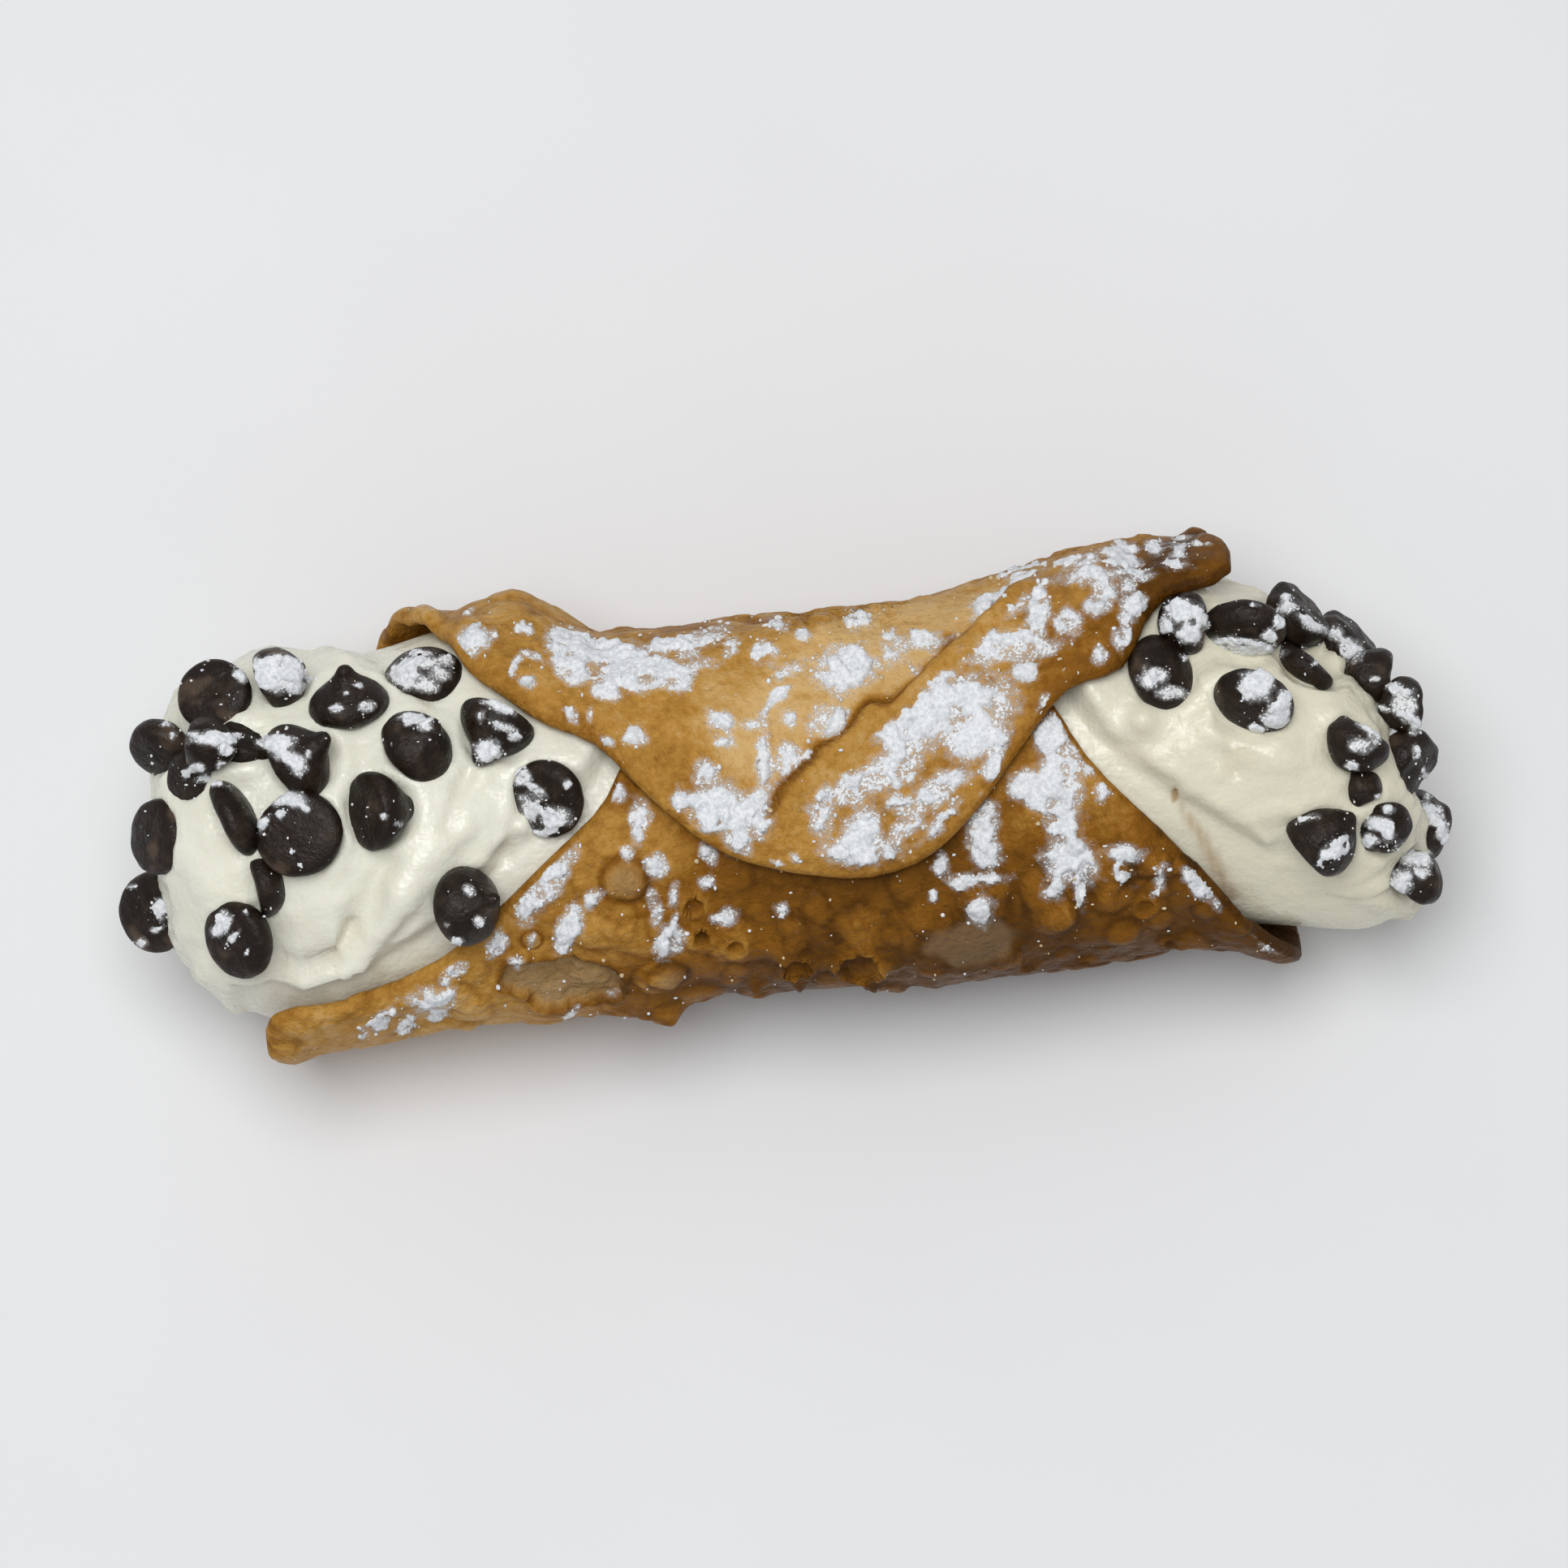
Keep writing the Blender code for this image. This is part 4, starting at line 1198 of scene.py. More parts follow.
    def bubbling(self, flat: Array, near: Array) -> tuple[Array, Array]:
        """Work out the many small bubbles: domes over seeded cells, each with a fine dark rim.

        Args:
            flat: places on the dough laid flat.
            near: how bubbly the dough is there, from 0 to 1.

        Returns:
            The bubbles' height, and their share of rim.
        """
        height, rims = np.zeros(near.shape), np.zeros(near.shape)
        for noise, size, share, tall in ((self.coarse, 7.0, 0.44, 0.70), (self.fine, 3.8, 0.42, 0.32)):
            away, value = noise.bubbles(flat, size)
            away += 0.13 * self.ragged.smooth(flat, size / 3)
            there = ease(0.45, 0.62, value) * (0.10 + 0.90 * near)
            height += tall * there * np.maximum(0, 1 - (away / share) ** 2) ** 0.7
            rims += there * hump(away, share + 0.04, 0.10)
        return height, rims

    def skin_parts(self, along: Array, angle: Array) -> tuple[Array, Array, Array]:
        """Work out the blisters with a thin pale skin.

        Args:
            along: millimetres along the tube.
            angle: degrees round it.

        Returns:
            The domes' height, the share of skin, and the share of the dark line round each.
        """
        height, within, line = (np.zeros(np.shape(along)) for _ in range(3))
        wander = 0.13 * self.ragged.fractal(self.flat(along, angle), 1.8, 2)
        for skin in self.skins:
            away = self.away_from(along, angle, skin) + wander
            height += skin.height * np.maximum(0, 1 - away ** 2) ** (0.5 if skin.along < 0 else 1.0)
            within = np.maximum(within, ease(1.05, 0.35, away))
            line = np.maximum(line, hump(away, 1.08, 0.18))
        return height, within, line

    @staticmethod
    def bubbly(angle: Array) -> Array:
        """Return how bubbly the dough is: most on the near wall and low on the far side, little on top."""
        near_wall = ease(-160, -132, angle) * ease(-30, -60, angle)
        far_side = ease(60, 85, angle) * ease(130, 112, angle)
        return np.maximum(np.maximum(near_wall, 0.8 * far_side), 0.28)

    def detail(self, along: Array, angle: Array) -> Array:
        """Return the fine relief: unevenness, wrinkles, bubbles, burst blisters and the burst hollow."""
        flat = self.flat(along, angle)
        height = 0.42 * self.coarse.fractal(flat, 9.0, 2) + 0.22 * self.fine.fractal(flat, 3.4, 2)
        height += 0.12 * ease(0.0, 0.12, self.creases(flat)) - 0.06
        height += self.bubbling(flat, self.bubbly(angle))[0]
        height += self.crater_parts(along, angle)[0] + self.skin_parts(along, angle)[0]
        share = self.burst_share(along, angle)
        inside = ease(1.04, 0.95, share)
        pits, value = self.ragged.bubbles(flat, 1.7)
        height += 0.40 * hump(share, 1.10, 0.11) - self.burst.height * inside
        height -= 0.35 * inside * ease(0.42, 0.2, pits) * ease(0.5, 0.65, value)
        open_bubbles = (ease(1.5, 4, along) * ease(19, 14, along) * ease(104, 112, angle)
                        * ease(142, 130, angle))
        height -= 0.75 * open_bubbles * ease(0.5, 0.3, pits)
        beside, torn = self.tear(along, angle)
        height += torn * (0.80 * hump(beside, -1.2, 1.4) * ease(0.45, -0.45, beside)
                          - 0.50 * ease(-0.45, 0.45, beside) * ease(8, 3, beside))
        height += self.rises(along, angle, self.dents)
        height += 0.55 * hump(self.past_rim(along, angle), -2.8, 2.2)
        return height * (1 - 0.8 * self.covered(along, angle))

    def point(self, along: Array, angle: Array, radius: Array, lowest: float = 0) -> Array:
        """Roll places up into space: out from the axis by the radius, no lower than a height."""
        turn = np.radians(angle)
        height = np.maximum(self.axis_height - radius * np.cos(turn), lowest)
        return np.stack([along, radius * np.sin(turn), height], -1)

    def outer(self, along: Array, angle: Array) -> Array:
        """Return points of the outer face, with its detail."""
        return self.point(along, angle, self.body(along, angle) + self.detail(along, angle))

    def toast_and_shade(self, along: Array, angle: Array) -> tuple[Array, Array]:
        """Work out how brown the dough is, plus painted shade under the flap and in its grooves and
        hollows.

        Args:
            along: millimetres along the tube.
            angle: degrees round it.

        Returns:
            The toast with its painted shade, about 0 pale to 1 dark, and the share of grey-brown, from 0 to
            1.
        """
        flat = self.flat(along, angle)
        toast_and_shade = 0.31 + 0.13 * self.coarse.fractal(flat, 12, 3)
        rightward = ease(-38, 0, along)
        near_wall = ease(-172, -136, angle) * ease(20, -40, angle)
        far_lobe = ease(95, 115, angle) * ease(190, 160, angle)
        toast_and_shade -= ease(-30, -44, along) * (0.17 * near_wall + 0.18 * far_lobe)
        toast_and_shade += near_wall * (0.09 + 0.36 * rightward)
        toast_and_shade += (0.02 + 0.16 * rightward) * ease(-132, -100, angle) * ease(20, -40, angle)
        toast_and_shade += 0.38 * hump(along, 54, 5.5) * hump(angle, 127, 19)
        toast_and_shade += 0.10 * ease(26, 34, along) * ease(115, 135, angle)
        toast_and_shade += 0.16 * ease(150, 105, angle) * ease(20, 60, angle) * (0.2 + 0.8 * rightward)
        past = self.past_rim(along, angle)
        toast_and_shade += 0.10 * hump(past, -1.0, 1.2) + 0.06 * hump(past, -4.0, 3.5)
        toast_and_shade += 0.12 * ease(24, 36, along) * ease(90, 120, angle) * hump(past, -3.0, 5.0)
        beyond_flap = self.past_rim(along, angle + 360)
        # Painted shadow: the inner layer darkens for 7 mm below the outer flap's edge, which shades it.
        toast_and_shade += 0.26 * ease(7, 0, beyond_flap) * ease(-224, -200, angle)
        # Painted shade: lighter where the coarse relief rises, darker in the grooves of the wrinkles.
        toast_and_shade -= 0.05 * self.coarse.fractal(flat, 9.0, 2) - 0.09 * ease(0.08, 0.0, self.creases(flat))
        beside, inside = self.tear(along, angle)
        toast_and_shade -= 0.30 * inside * ease(0.2, 2.0, beside) * ease(16, 9, beside)
        # Painted shadow: a dark line at the foot of the tear's raised edge, under its overhang.
        toast_and_shade += 0.42 * inside * hump(beside, 0.3, 0.8)
        crater_height, within = self.crater_parts(along, angle)
        # Craters: the inside is darker, and by height the hollow gets painted shade, the ring painted
        # light.
        toast_and_shade += 0.14 * within - 0.34 * crater_height
        domes, rims = self.bubbling(flat, self.bubbly(angle))
        limit = 0.78 + 0.13 * ease(-138, -110, angle) * ease(20, -40, angle) * rightward
        # The cap is raised below the flap's edge so that this painted shadow can go darker.
        limit += 0.12 * ease(6, 0, beyond_flap) * ease(-224, -200, angle)
        toast_and_shade = np.minimum(toast_and_shade, limit) - 0.20 * domes + 0.12 * rims
        behind_fold = hump(along, self.fold_crest(angle) + 8, 5)
        toast_and_shade += 0.25 * behind_fold * ease(100, 125, angle) * ease(185, 168, angle)
        share = self.burst_share(along, angle)
        _, skin, line = self.skin_parts(along, angle)
        hollow, crisp = ease(1.06, 0.88, share), ease(5, -5, along)
        toast_and_shade += 0.25 * hump(share, 1.06, 0.11) - 0.25 * hollow
        toast_and_shade += (0.15 + 0.15 * crisp) * line - (0.12 + 0.06 * crisp) * skin
        oval = self.away_from(along, angle, self.grey_oval) + 0.14 * self.ragged.smooth(flat, 1.8)
        toast_and_shade += 0.16 * hump(oval, 1.1, 0.2)
        grey = np.maximum(np.maximum(0.6 * hollow, 0.45 * skin * crisp), 0.5 * ease(1.1, 0.8, oval))
        return np.clip(toast_and_shade, 0, 0.94), grey

    def outer_grid(self) -> tuple[Array, Array, Array]:
        """Draw a rectangular grid and pull its edge in to the rim of the round.

        A place whose larger coordinate is the share m of the way out is scaled by
        1 + (reach / box - 1) × m, with the rim's reach and the rectangle's in its direction.

        Returns:
            Millimetres along, degrees round, and the numbers of the grid's edge in order.
        """
        x, y = np.meshgrid(np.linspace(-1, 1, self.columns), np.linspace(-1, 1, self.rows))
        right, up = x * self.box[0], y * self.box[1]
        share = np.maximum(np.maximum(np.abs(x), np.abs(y)), 1e-6)
        reach = self.reach(np.degrees(np.arctan2(up, right)) % 360) - self.thickness / 2
        scale = 1 + (reach * share / np.maximum(np.hypot(right, up), 1e-6) - 1) * share
        along, angle = self.placed(right * scale, up * scale)
        number = numbered(self.rows, self.columns)
        edge = np.concatenate([number[0, :-1], number[:-1, -1], number[-1, :0:-1], number[:0:-1, 0]])
        return along.ravel(), angle.ravel(), edge

    def rings(self, along: Array, angle: Array) -> Iterable[tuple[Array, Array, Array]]:
        """Carry the outer face's edge round to the inside and in towards the centre, ring by ring.

        The edge is a half circle as thick as the dough. The inner face lies the thickness below the
        outer one, and keeps that one's fine relief only beside the edge.

        Args:
            along: millimetres along the tube of the edge's points.
            angle: degrees round it.

        Yields:
            Points, millimetres along and degrees round of each ring.
        """
        right, up = self.from_centre(along, angle)
        reach, half = np.hypot(right, up), self.thickness / 2
        edge_detail = self.detail(along, angle)
        steps = []
        for turn in np.pi * np.arange(1, self.edge_rings + 1) / self.edge_rings:
            steps.append((reach + half * np.sin(turn), half * (1 - np.cos(turn)), 1.0))
        for step in range(1, self.inner_rings):
            steps.append((reach * (1 - step / self.inner_rings), self.thickness, ease(3, 0, step)))
        for ring_reach, inward, kept in steps:
            along, angle = self.placed(right / reach * ring_reach, up / reach * ring_reach)
            radius = self.body(along, angle) + kept * edge_detail - inward
            yield self.point(along, angle, radius), along, angle

    def build(self, material: bpy.types.Material, sugar: PowderedSugar) -> bpy.types.Object:
        """Build the shell: outer face, rounded edge, and an inner face of rings down to one pole.

        Args:
            material: the fried dough's finish.
            sugar: the sugar that dusts it.

        Returns:
            The shell.
        """
        along, angle, edge = self.outer_grid()
        outer = self.outer(along, angle)
        toast_and_shade, grey = self.toast_and_shade(along, angle)
        toasts_and_shades, rings = [toast_and_shade], []
        for ring, ring_along, ring_angle in self.rings(along[edge], angle[edge]):
            rings.append(ring)
            toasts_and_shades.append(self.toast_and_shade(ring_along, ring_angle)[0] + self.toasted_inside)
        pole_along, pole_angle = (np.array([value]) for value in self.centre)
        pole = self.point(pole_along, pole_angle, self.body(pole_along, pole_angle) - self.thickness)
        points = np.concatenate([outer, *rings, pole])
        numbers = np.arange(len(outer), len(points) - 1).reshape(len(rings), -1)
        numbers = np.concatenate([edge[None], numbers])
        quads = np.concatenate([quads_of(numbered(self.rows, self.columns)),
                                quads_of(rejoined(numbers))[:, [0, 3, 2, 1]]])
        tip = fan(numbers[-1], len(points) - 1)
        normals = surface_normals(outer.reshape(self.rows, self.columns, 3)).reshape(-1, 3)
        outward = outer - np.array([0, 0, self.axis_height])
        normals *= np.sign((outward[:, 1:] * normals[:, 1:]).sum())
        shown = (1 - self.covered(along, angle)) * self.takes_sugar(along, angle)
        blank = np.zeros(len(points) - len(outer))
        # The toast mark carries painted shade as well as browning.
        marks = {"toast_and_shade": np.concatenate([*toasts_and_shades, [self.pole_toast]]),
                 "grey": np.concatenate([grey, blank]),
                 "sugar": np.concatenate([sugar.dust(outer, normals, shown), blank])}
        shell = build_mesh("fried_shell", points, [quads, tip], material, marks)
        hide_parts("shell")
        return shell


# The cream

class Stroke(NamedTuple):
    """A crease or ridge of the cream, drawn on the photograph from one pixel to another.

    Its width is in pixels, its height in millimetres; the last value is the share of painted crease shade.
    """

    x: float
    y: float
    end_x: float
    end_y: float
    width: float
    height: float
    tan: float = 0.0


def stroke_share(column: Array, row: Array, stroke: Stroke) -> Array:
    """Return a bell across a stroke: 1 on its line, by the distance to it in widths."""
    run, rise = stroke.end_x - stroke.x, stroke.end_y - stroke.y
    onward = ((column - stroke.x) * run + (row - stroke.y) * rise) / max(run ** 2 + rise ** 2, 1)
    onward = np.clip(onward, 0, 1)
    away = np.hypot(column - stroke.x - onward * run, row - stroke.y - onward * rise)
    return hump(away, 0, stroke.width)


@dataclass
class CreamFilling:
    """The ricotta cream that fills the tube and swells out of both ends.

    Each of the folds is a height, a pitch along the tube, turns round it, and the places where it
    starts and is full. The spans are the ends of the straight part's stretches and their rings.
    """

    dough: DoughRound
    camera: PhotoCamera
    gap: float = 0.6
    left: float = -77.5
    right: float = 73.5
    cap: float = 21.0
    left_power: float = 3.2
    right_power: float = 2.9
    right_skew: float = 0.4
    left_radius: float = 21.3
    right_radius: float = 21.6
    middle: float = 5.0
    lowest: float = 0.4
    left_swells: Sequence[Swell] = records(
        Swell, (2.0, -26, -44, 170, 75), (3.0, -34, -46, 120, 50), (-2.0, -57, -68, 275, 40))
    right_swells: Sequence[Swell] = records(
        Swell, (1.6, 36, 52, 170, 75), (1.2, 52, 62, 262, 45))
    slump: Swell = Swell(-3.0, -58, -70, 272, 45)
    folds: Sequence[tuple[float, ...]] = ((0.45, 0.55, 2.2, -28, -44), (0.3, 0.5, -2.5, 40, 52))
    strokes: Sequence[Stroke] = records(
        Stroke, (478, 1062, 437, 1145, 16, -0.8, 0.04), (437, 1145, 412, 1185, 11, -1.0, 0.22),
        (412, 1185, 400, 1228, 8, -1.2, 0.45), (505, 1130, 470, 1190, 9, -0.6, 0.12),
        (470, 1190, 452, 1242, 8, -0.7, 0.25), (650, 960, 622, 1060, 10, -0.6, 0.12),
        (622, 1060, 560, 1110, 12, -0.4, 0.08), (570, 1000, 500, 1100, 30, 0.8),
        (500, 1100, 435, 1200, 22, 0.7), (575, 955, 545, 1020, 10, -0.5, 0.08),
        (330, 1120, 345, 1180, 14, -0.6, 0.05), (345, 1180, 335, 1245, 9, -0.7, 0.15),
        (375, 1215, 375, 1215, 22, 0.8), (430, 1222, 430, 1222, 18, 0.7), (480, 1195, 500, 1175, 16, 0.7),
        (300, 1215, 300, 1215, 24, 0.7), (255, 1195, 255, 1195, 20, 0.8), (212, 1160, 212, 1160, 18, 0.6),
        (225, 1055, 262, 1105, 16, 0.5), (270, 1050, 330, 1065, 14, -0.5, 0.02),
        (1445, 977, 1466, 1004, 5, -0.35, 0.5), (1466, 1004, 1493, 1052, 7, -0.5, 0.7),
        (1493, 1052, 1517, 1100, 9, -0.7, 0.75), (1446, 974, 1447, 981, 3.5, -0.3, 1.6),
        (1407, 886, 1407, 886, 19, 1.6), (1407, 915, 1407, 915, 26, -0.5, 0.1),
        (1493, 903, 1493, 903, 15, 0.7), (1563, 932, 1563, 932, 20, 1.1),
        (1515, 930, 1520, 950, 12, -0.5, 0.16), (1590, 800, 1602, 818, 10, -0.3, 0.35),
        (1555, 1118, 1555, 1118, 16, 0.7), (1600, 1122, 1600, 1122, 18, 0.7),
        (1650, 1100, 1650, 1100, 14, 0.7), (1440, 800, 1520, 810, 12, -0.3, 0.04),
        (1700, 850, 1720, 900, 12, 0.5), (1640, 870, 1660, 920, 14, 0.5))
    grid: Array | None = None
    sides: int = 240
    cap_rings: int = 30
    spans: Sequence[tuple[float, int]] = ((-16.0, 72), (28.0, 22), (52.5, 46))
    coarse: LatticeNoise = LatticeNoise(21)
    fine: LatticeNoise = LatticeNoise(23)

    def cover(self, along: Array, angle: Array) -> tuple[Array, Array]:
        """Work out how far beyond both layers of dough each place is.

        Args:
            along: millimetres along the tube.
            angle: degrees round it, from 0 to 360.

        Returns:
            Millimetres beyond the outer layer's rim and beyond the inner layer's.
        """
        return self.dough.past_rim(along, angle), self.dough.past_rim(along, angle - 360)

    def radius(self, along: Array, angle: Array) -> Array:
        """Return the cream's radius: against the dough where that covers it, banked up beside it."""
        outer_past, inner_past = self.cover(along, angle)
        under_inner = ease(6, 3, inner_past)
        under = under_inner * self.dough.body(along, angle - 360)
        under = under + (1 - under_inner) * self.dough.body(along, angle)
        covered = under - self.dough.thickness - self.gap
        waves = sum(height * np.sin(pitch * along + np.radians(turns * angle)) * ease(start, full, along)
                    for height, pitch, turns, start, full in self.folds)
        left = self.left_radius + swell_sum(along, angle, self.left_swells)
        right = self.right_radius + swell_sum(along, angle, self.right_swells)
        open_radius = np.where(along < self.middle, left, right) + waves
        free = ease(3.5, 10.5, np.minimum(outer_past, inner_past))
        return covered + free * (open_radius - covered) + swell_sum(along, angle, (self.slump,))

    def stations(self) -> tuple[Array, Array]:
        """Space the rings along the tube, closest on the two rounded ends.

        A rounded end is a superellipse: with t from 0 to a quarter turn, the place is 1 - cos(t)^(2/p)
        of the end's length and the radius is sin(t)^(2/p) of the full one.

        Returns:
            The rings' places and the share of the radius at each.
        """
        turn = np.pi / 2 * (np.arange(1, self.cap_rings) / self.cap_rings) ** 1.5
        places, shares = [], []
        for power in (self.left_power, self.right_power):
            places.append(1 - np.cos(turn) ** (2 / power))
            shares.append(np.sin(turn) ** (2 / power))
        start = self.left + self.cap
        body = [np.array([start])]
        for end, rings in (*self.spans[:-1], (self.right - self.cap, self.spans[-1][1])):
            body.append(np.linspace(start, end, rings + 1)[1:])
            start = end
        straight = np.concatenate(body)
        along = np.concatenate([self.left + self.cap * places[0], straight,
                                self.right - self.cap * places[1][::-1]])
        share = np.concatenate([shares[0], np.ones(len(straight)), shares[1][::-1]])
        return along, share

    def build(self, material: bpy.types.Material, drops: Sequence[ChocolateDrop]) -> bpy.types.Object:
        """Build the cream: rings round the axis, displaced along their normals, closed at two poles.

        The displacement is fractal curds, dips under the drops and rims raised round them.

        Args:
            material: the cream's finish.
            drops: the chocolate drops that sit in it.

        Returns:
            The cream.
        """
        along, share = self.stations()
        angle = np.arange(self.sides) * 360 / self.sides
        along, angle = np.meshgrid(along, angle, indexing="ij")
        radius = self.radius(along, angle) * share[:, None]
        base = self.dough.point(along, angle, radius, self.dough.thickness + self.gap)
        base[..., 0] -= self.right_skew * ease(40, 58, along) * base[..., 1]
        normals = surface_normals(base, closed=True)
        outward = base - np.array([0, 0, self.dough.axis_height])
        outward[..., 0] = 0
        normals *= np.sign((normals * outward).sum(-1, keepdims=True) + 1e-9)
        free = ease(2, 5, np.minimum(*self.cover(along, angle)))
        height = 0.50 * self.coarse.fractal(base, 8.0, 2) + 0.36 * self.fine.fractal(base, 3.4, 2)
        curds, value = self.fine.bubbles(base, 2.6)
        lumpy = 0.30 + 0.45 * ease(34, 20, base[..., 2]) + 0.30 * ease(50, 66, base[..., 0])
        height += lumpy * np.maximum(0, 1 - (curds / 0.62) ** 2) * ease(0.3, 0.7, value)
        column, row = self.camera.pixel(base)
        column += 7 * self.coarse.fractal(base, 4.0, 2)
        row += 7 * self.coarse.fractal(base + 40, 4.0, 2)
        seen = ease(0.0, 0.35, normals @ self.camera.axes()[0])
        # Strokes that are creases lay painted shade in them, as a share for the shader.
        tan = np.zeros(height.shape)
        for stroke in self.strokes:
            share = stroke_share(column, row, stroke) * seen
            height += 1.35 * stroke.height * share
            tan = np.maximum(tan, stroke.tan * share)
        for drop in drops:
            away = np.linalg.norm(base - drop.heart, axis=-1)
            rim = drop.width / 2
            reach = rim + drop.dip_reach
            height += 0.22 * hump(away, rim + 0.8, 0.6) - drop.dip * ease(reach, reach - 1.5, away)
        points = base + normals * (height * free)[..., None]
        points[..., 2] = np.maximum(points[..., 2], self.lowest)
        poles = np.array([[2 * points[0, :, 0].mean() - points[1, :, 0].mean(), 0, 0],
                          [2 * points[-1, :, 0].mean() - points[-2, :, 0].mean(), 0, 0]])
        poles[:, 1:] = points[[0, -1]].mean(axis=1)[:, 1:]
        every = np.concatenate([points.reshape(-1, 3), poles])
        marks = {"tan": np.concatenate([tan.ravel(), [0, 0]])}
        self.grid = points
        cream = build_mesh("ricotta_filling", every, closed_tube(*along.shape), material, marks)
        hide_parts("cream")
        return cream


# The chocolate drops

class DropShape(Enum):
    """Forms of drop: half outline from the base's middle to the tip, and how lumpy it is."""

    KISS = (((0.0, 0.1), (2.6, 0.05), (4.0, 0.0), (4.62, 0.28), (4.86, 1.05), (4.62, 2.05),
             (3.85, 3.1), (2.7, 4.05), (1.8, 4.8), (1.25, 5.5), (1.0, 6.1), (0.62, 6.65), (0.0, 6.85)),
            0.16)
    DOME = (((0.0, 0.05), (3.0, 0.03), (4.1, 0.0), (4.7, 0.3), (4.92, 1.1), (4.75, 2.1), (4.2, 3.1),
             (3.3, 3.95), (2.25, 4.6), (1.4, 5.05), (0.9, 5.4), (0.5, 5.6), (0.0, 5.7)), 0.22)
    BUTTON = (((0.0, -0.2), (2.6, -0.12), (3.9, 0.05), (4.65, 0.4), (4.95, 1.2), (4.8, 2.1),
               (4.15, 2.95), (3.1, 3.6), (1.6, 4.0), (0.0, 4.1)), 0.2)
    CHUNK = (((0.0, 0.0), (2.6, 0.0), (4.0, 0.1), (4.6, 0.7), (4.9, 1.8), (4.5, 3.0), (3.6, 4.1),
              (2.4, 4.9), (1.4, 5.5), (0.0, 5.8)), 0.5)


@dataclass(frozen=True)
class ChocolateDrop:
    """One chocolate drop: a rounded base, domed sides and, on some, a knob bent to one side.

    Its place is the middle of its widest part. Its tip points to the heading, in degrees from the
    right, and rises or falls by the rise. Under it the cream is pressed in by the dip.
    """

    name: str
    number: int
    shape: DropShape
    x: float
    y: float
    z: float
    heading: float
    rise: float
    width: float
    stretch: float = 1.0
    dip: float = 1.0
    dip_reach: float = 0.3
    usual_width: float = 9.2
    heart_height: float = 2.4
    tip_bend: float = 1.2
    tall: float = 7.2
    rings: int = 34
    sides: int = 52

    @property
    def heart(self) -> Array:
        """The middle of the drop's widest part."""
        return np.array([self.x, self.y, self.z])

    def frame(self) -> Array:
        """Return the 4 by 4 matrix that stands the drop where it goes, its tip turned as told."""
        heading, rise = np.radians(self.heading), np.radians(self.rise)
        level = np.cos(rise)
        tip_way = Vector((level * np.cos(heading), level * np.sin(heading), np.sin(rise)))
        turn = tip_way.to_track_quat("Z", "X").to_matrix().to_4x4()
        place = Matrix.Translation(Vector(self.heart) - tip_way * self.heart_height)
        return np.array(place @ turn)

    def outline(self, count: int) -> Array:
        """Return the profile rounded by cutting its corners three times, evenly spaced."""
        line = np.array(self.shape.value[0], dtype=float)
        for _ in range(3):
            near = 0.75 * line[:-1] + 0.25 * line[1:]
            far = 0.25 * line[:-1] + 0.75 * line[1:]
            line = np.concatenate([line[:1], np.stack([near, far], 1).reshape(-1, 2), line[-1:]])
        length = np.concatenate([[0], np.cumsum(np.hypot(*np.diff(line, axis=0).T))])
        at = np.linspace(0, length[-1], count)
        return np.stack([np.interp(at, length, line[:, pick]) for pick in (0, 1)], -1)

    def surface(self, rings: int, sides: int) -> Array:
        """Work out a grid of the drop's surface, in place.

        The profile is carried round the axis, made slightly oval and lumpy by noise, and its tip is
        bent sideways by the square of its height.

        Args:
            rings: points from the base's middle to the tip.
            sides: points round the axis.

        Returns:
            The grid of points, without the two poles.
        """
        line = self.outline(rings + 2)[1:-1]
        turn = np.arange(sides) * 2 * np.pi / sides
        noise = LatticeNoise(40 + self.number)
        oval = 1 + 0.035 * np.cos(2 * turn + self.number)
        radius = line[:, 0, None] * (self.width / self.usual_width) * oval
        height = np.broadcast_to(line[:, 1, None] * self.stretch, radius.shape)
        points = np.stack([radius * np.cos(turn), radius * np.sin(turn), height], -1)
        lumps = self.shape.value[1] * (noise.fractal(points, 3.4, 2) + 0.35 * noise.smooth(points, 1.3))
        lumps += 0.03 * noise.smooth(points, 0.6)
        outward = points - np.array([0, 0, self.heart_height])
        outward /= np.linalg.norm(outward, axis=-1, keepdims=True)
        points = points + outward * lumps[..., None]
        points[..., 0] += self.tip_bend * (np.maximum(points[..., 2], 0) / self.tall) ** 2
        matrix = self.frame()
        return points @ matrix[:3, :3].T + matrix[:3, 3]

    def normals(self, points: Array) -> Array:
        """Return the normals of a surface grid, pointing away from the drop's heart."""
        normals = surface_normals(points, closed=True)
        return normals * (1 if ((points - self.heart) * normals).sum() > 0 else -1)

    def build(self, material: bpy.types.Material, sugar: PowderedSugar) -> bpy.types.Object:
        """Build the drop as a closed mesh with its scuffs and sugar dust.

        Args:
            material: the chocolate's finish.
            sugar: the sugar that dusts it.

        Returns:
            The drop.
        """
        grid = self.surface(self.rings, self.sides)
        scuff = 0.8 * ease(0.25, 0.6, LatticeNoise(90 + self.number).fractal(grid, 3.5, 3))
        dust = sugar.drop_dust(self, grid, self.normals(grid))
        points = np.concatenate([grid.reshape(-1, 3), [grid[0].mean(axis=0), grid[-1].mean(axis=0)]])
        marks = {"scuff": np.append(scuff, [0, 0]), "sugar": np.append(dust, [0, 0])}
        drop = build_mesh("chocolate_" + self.name, points, closed_tube(self.rings, self.sides),
                          material, marks)
        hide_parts("drop_" + self.name)
        return drop


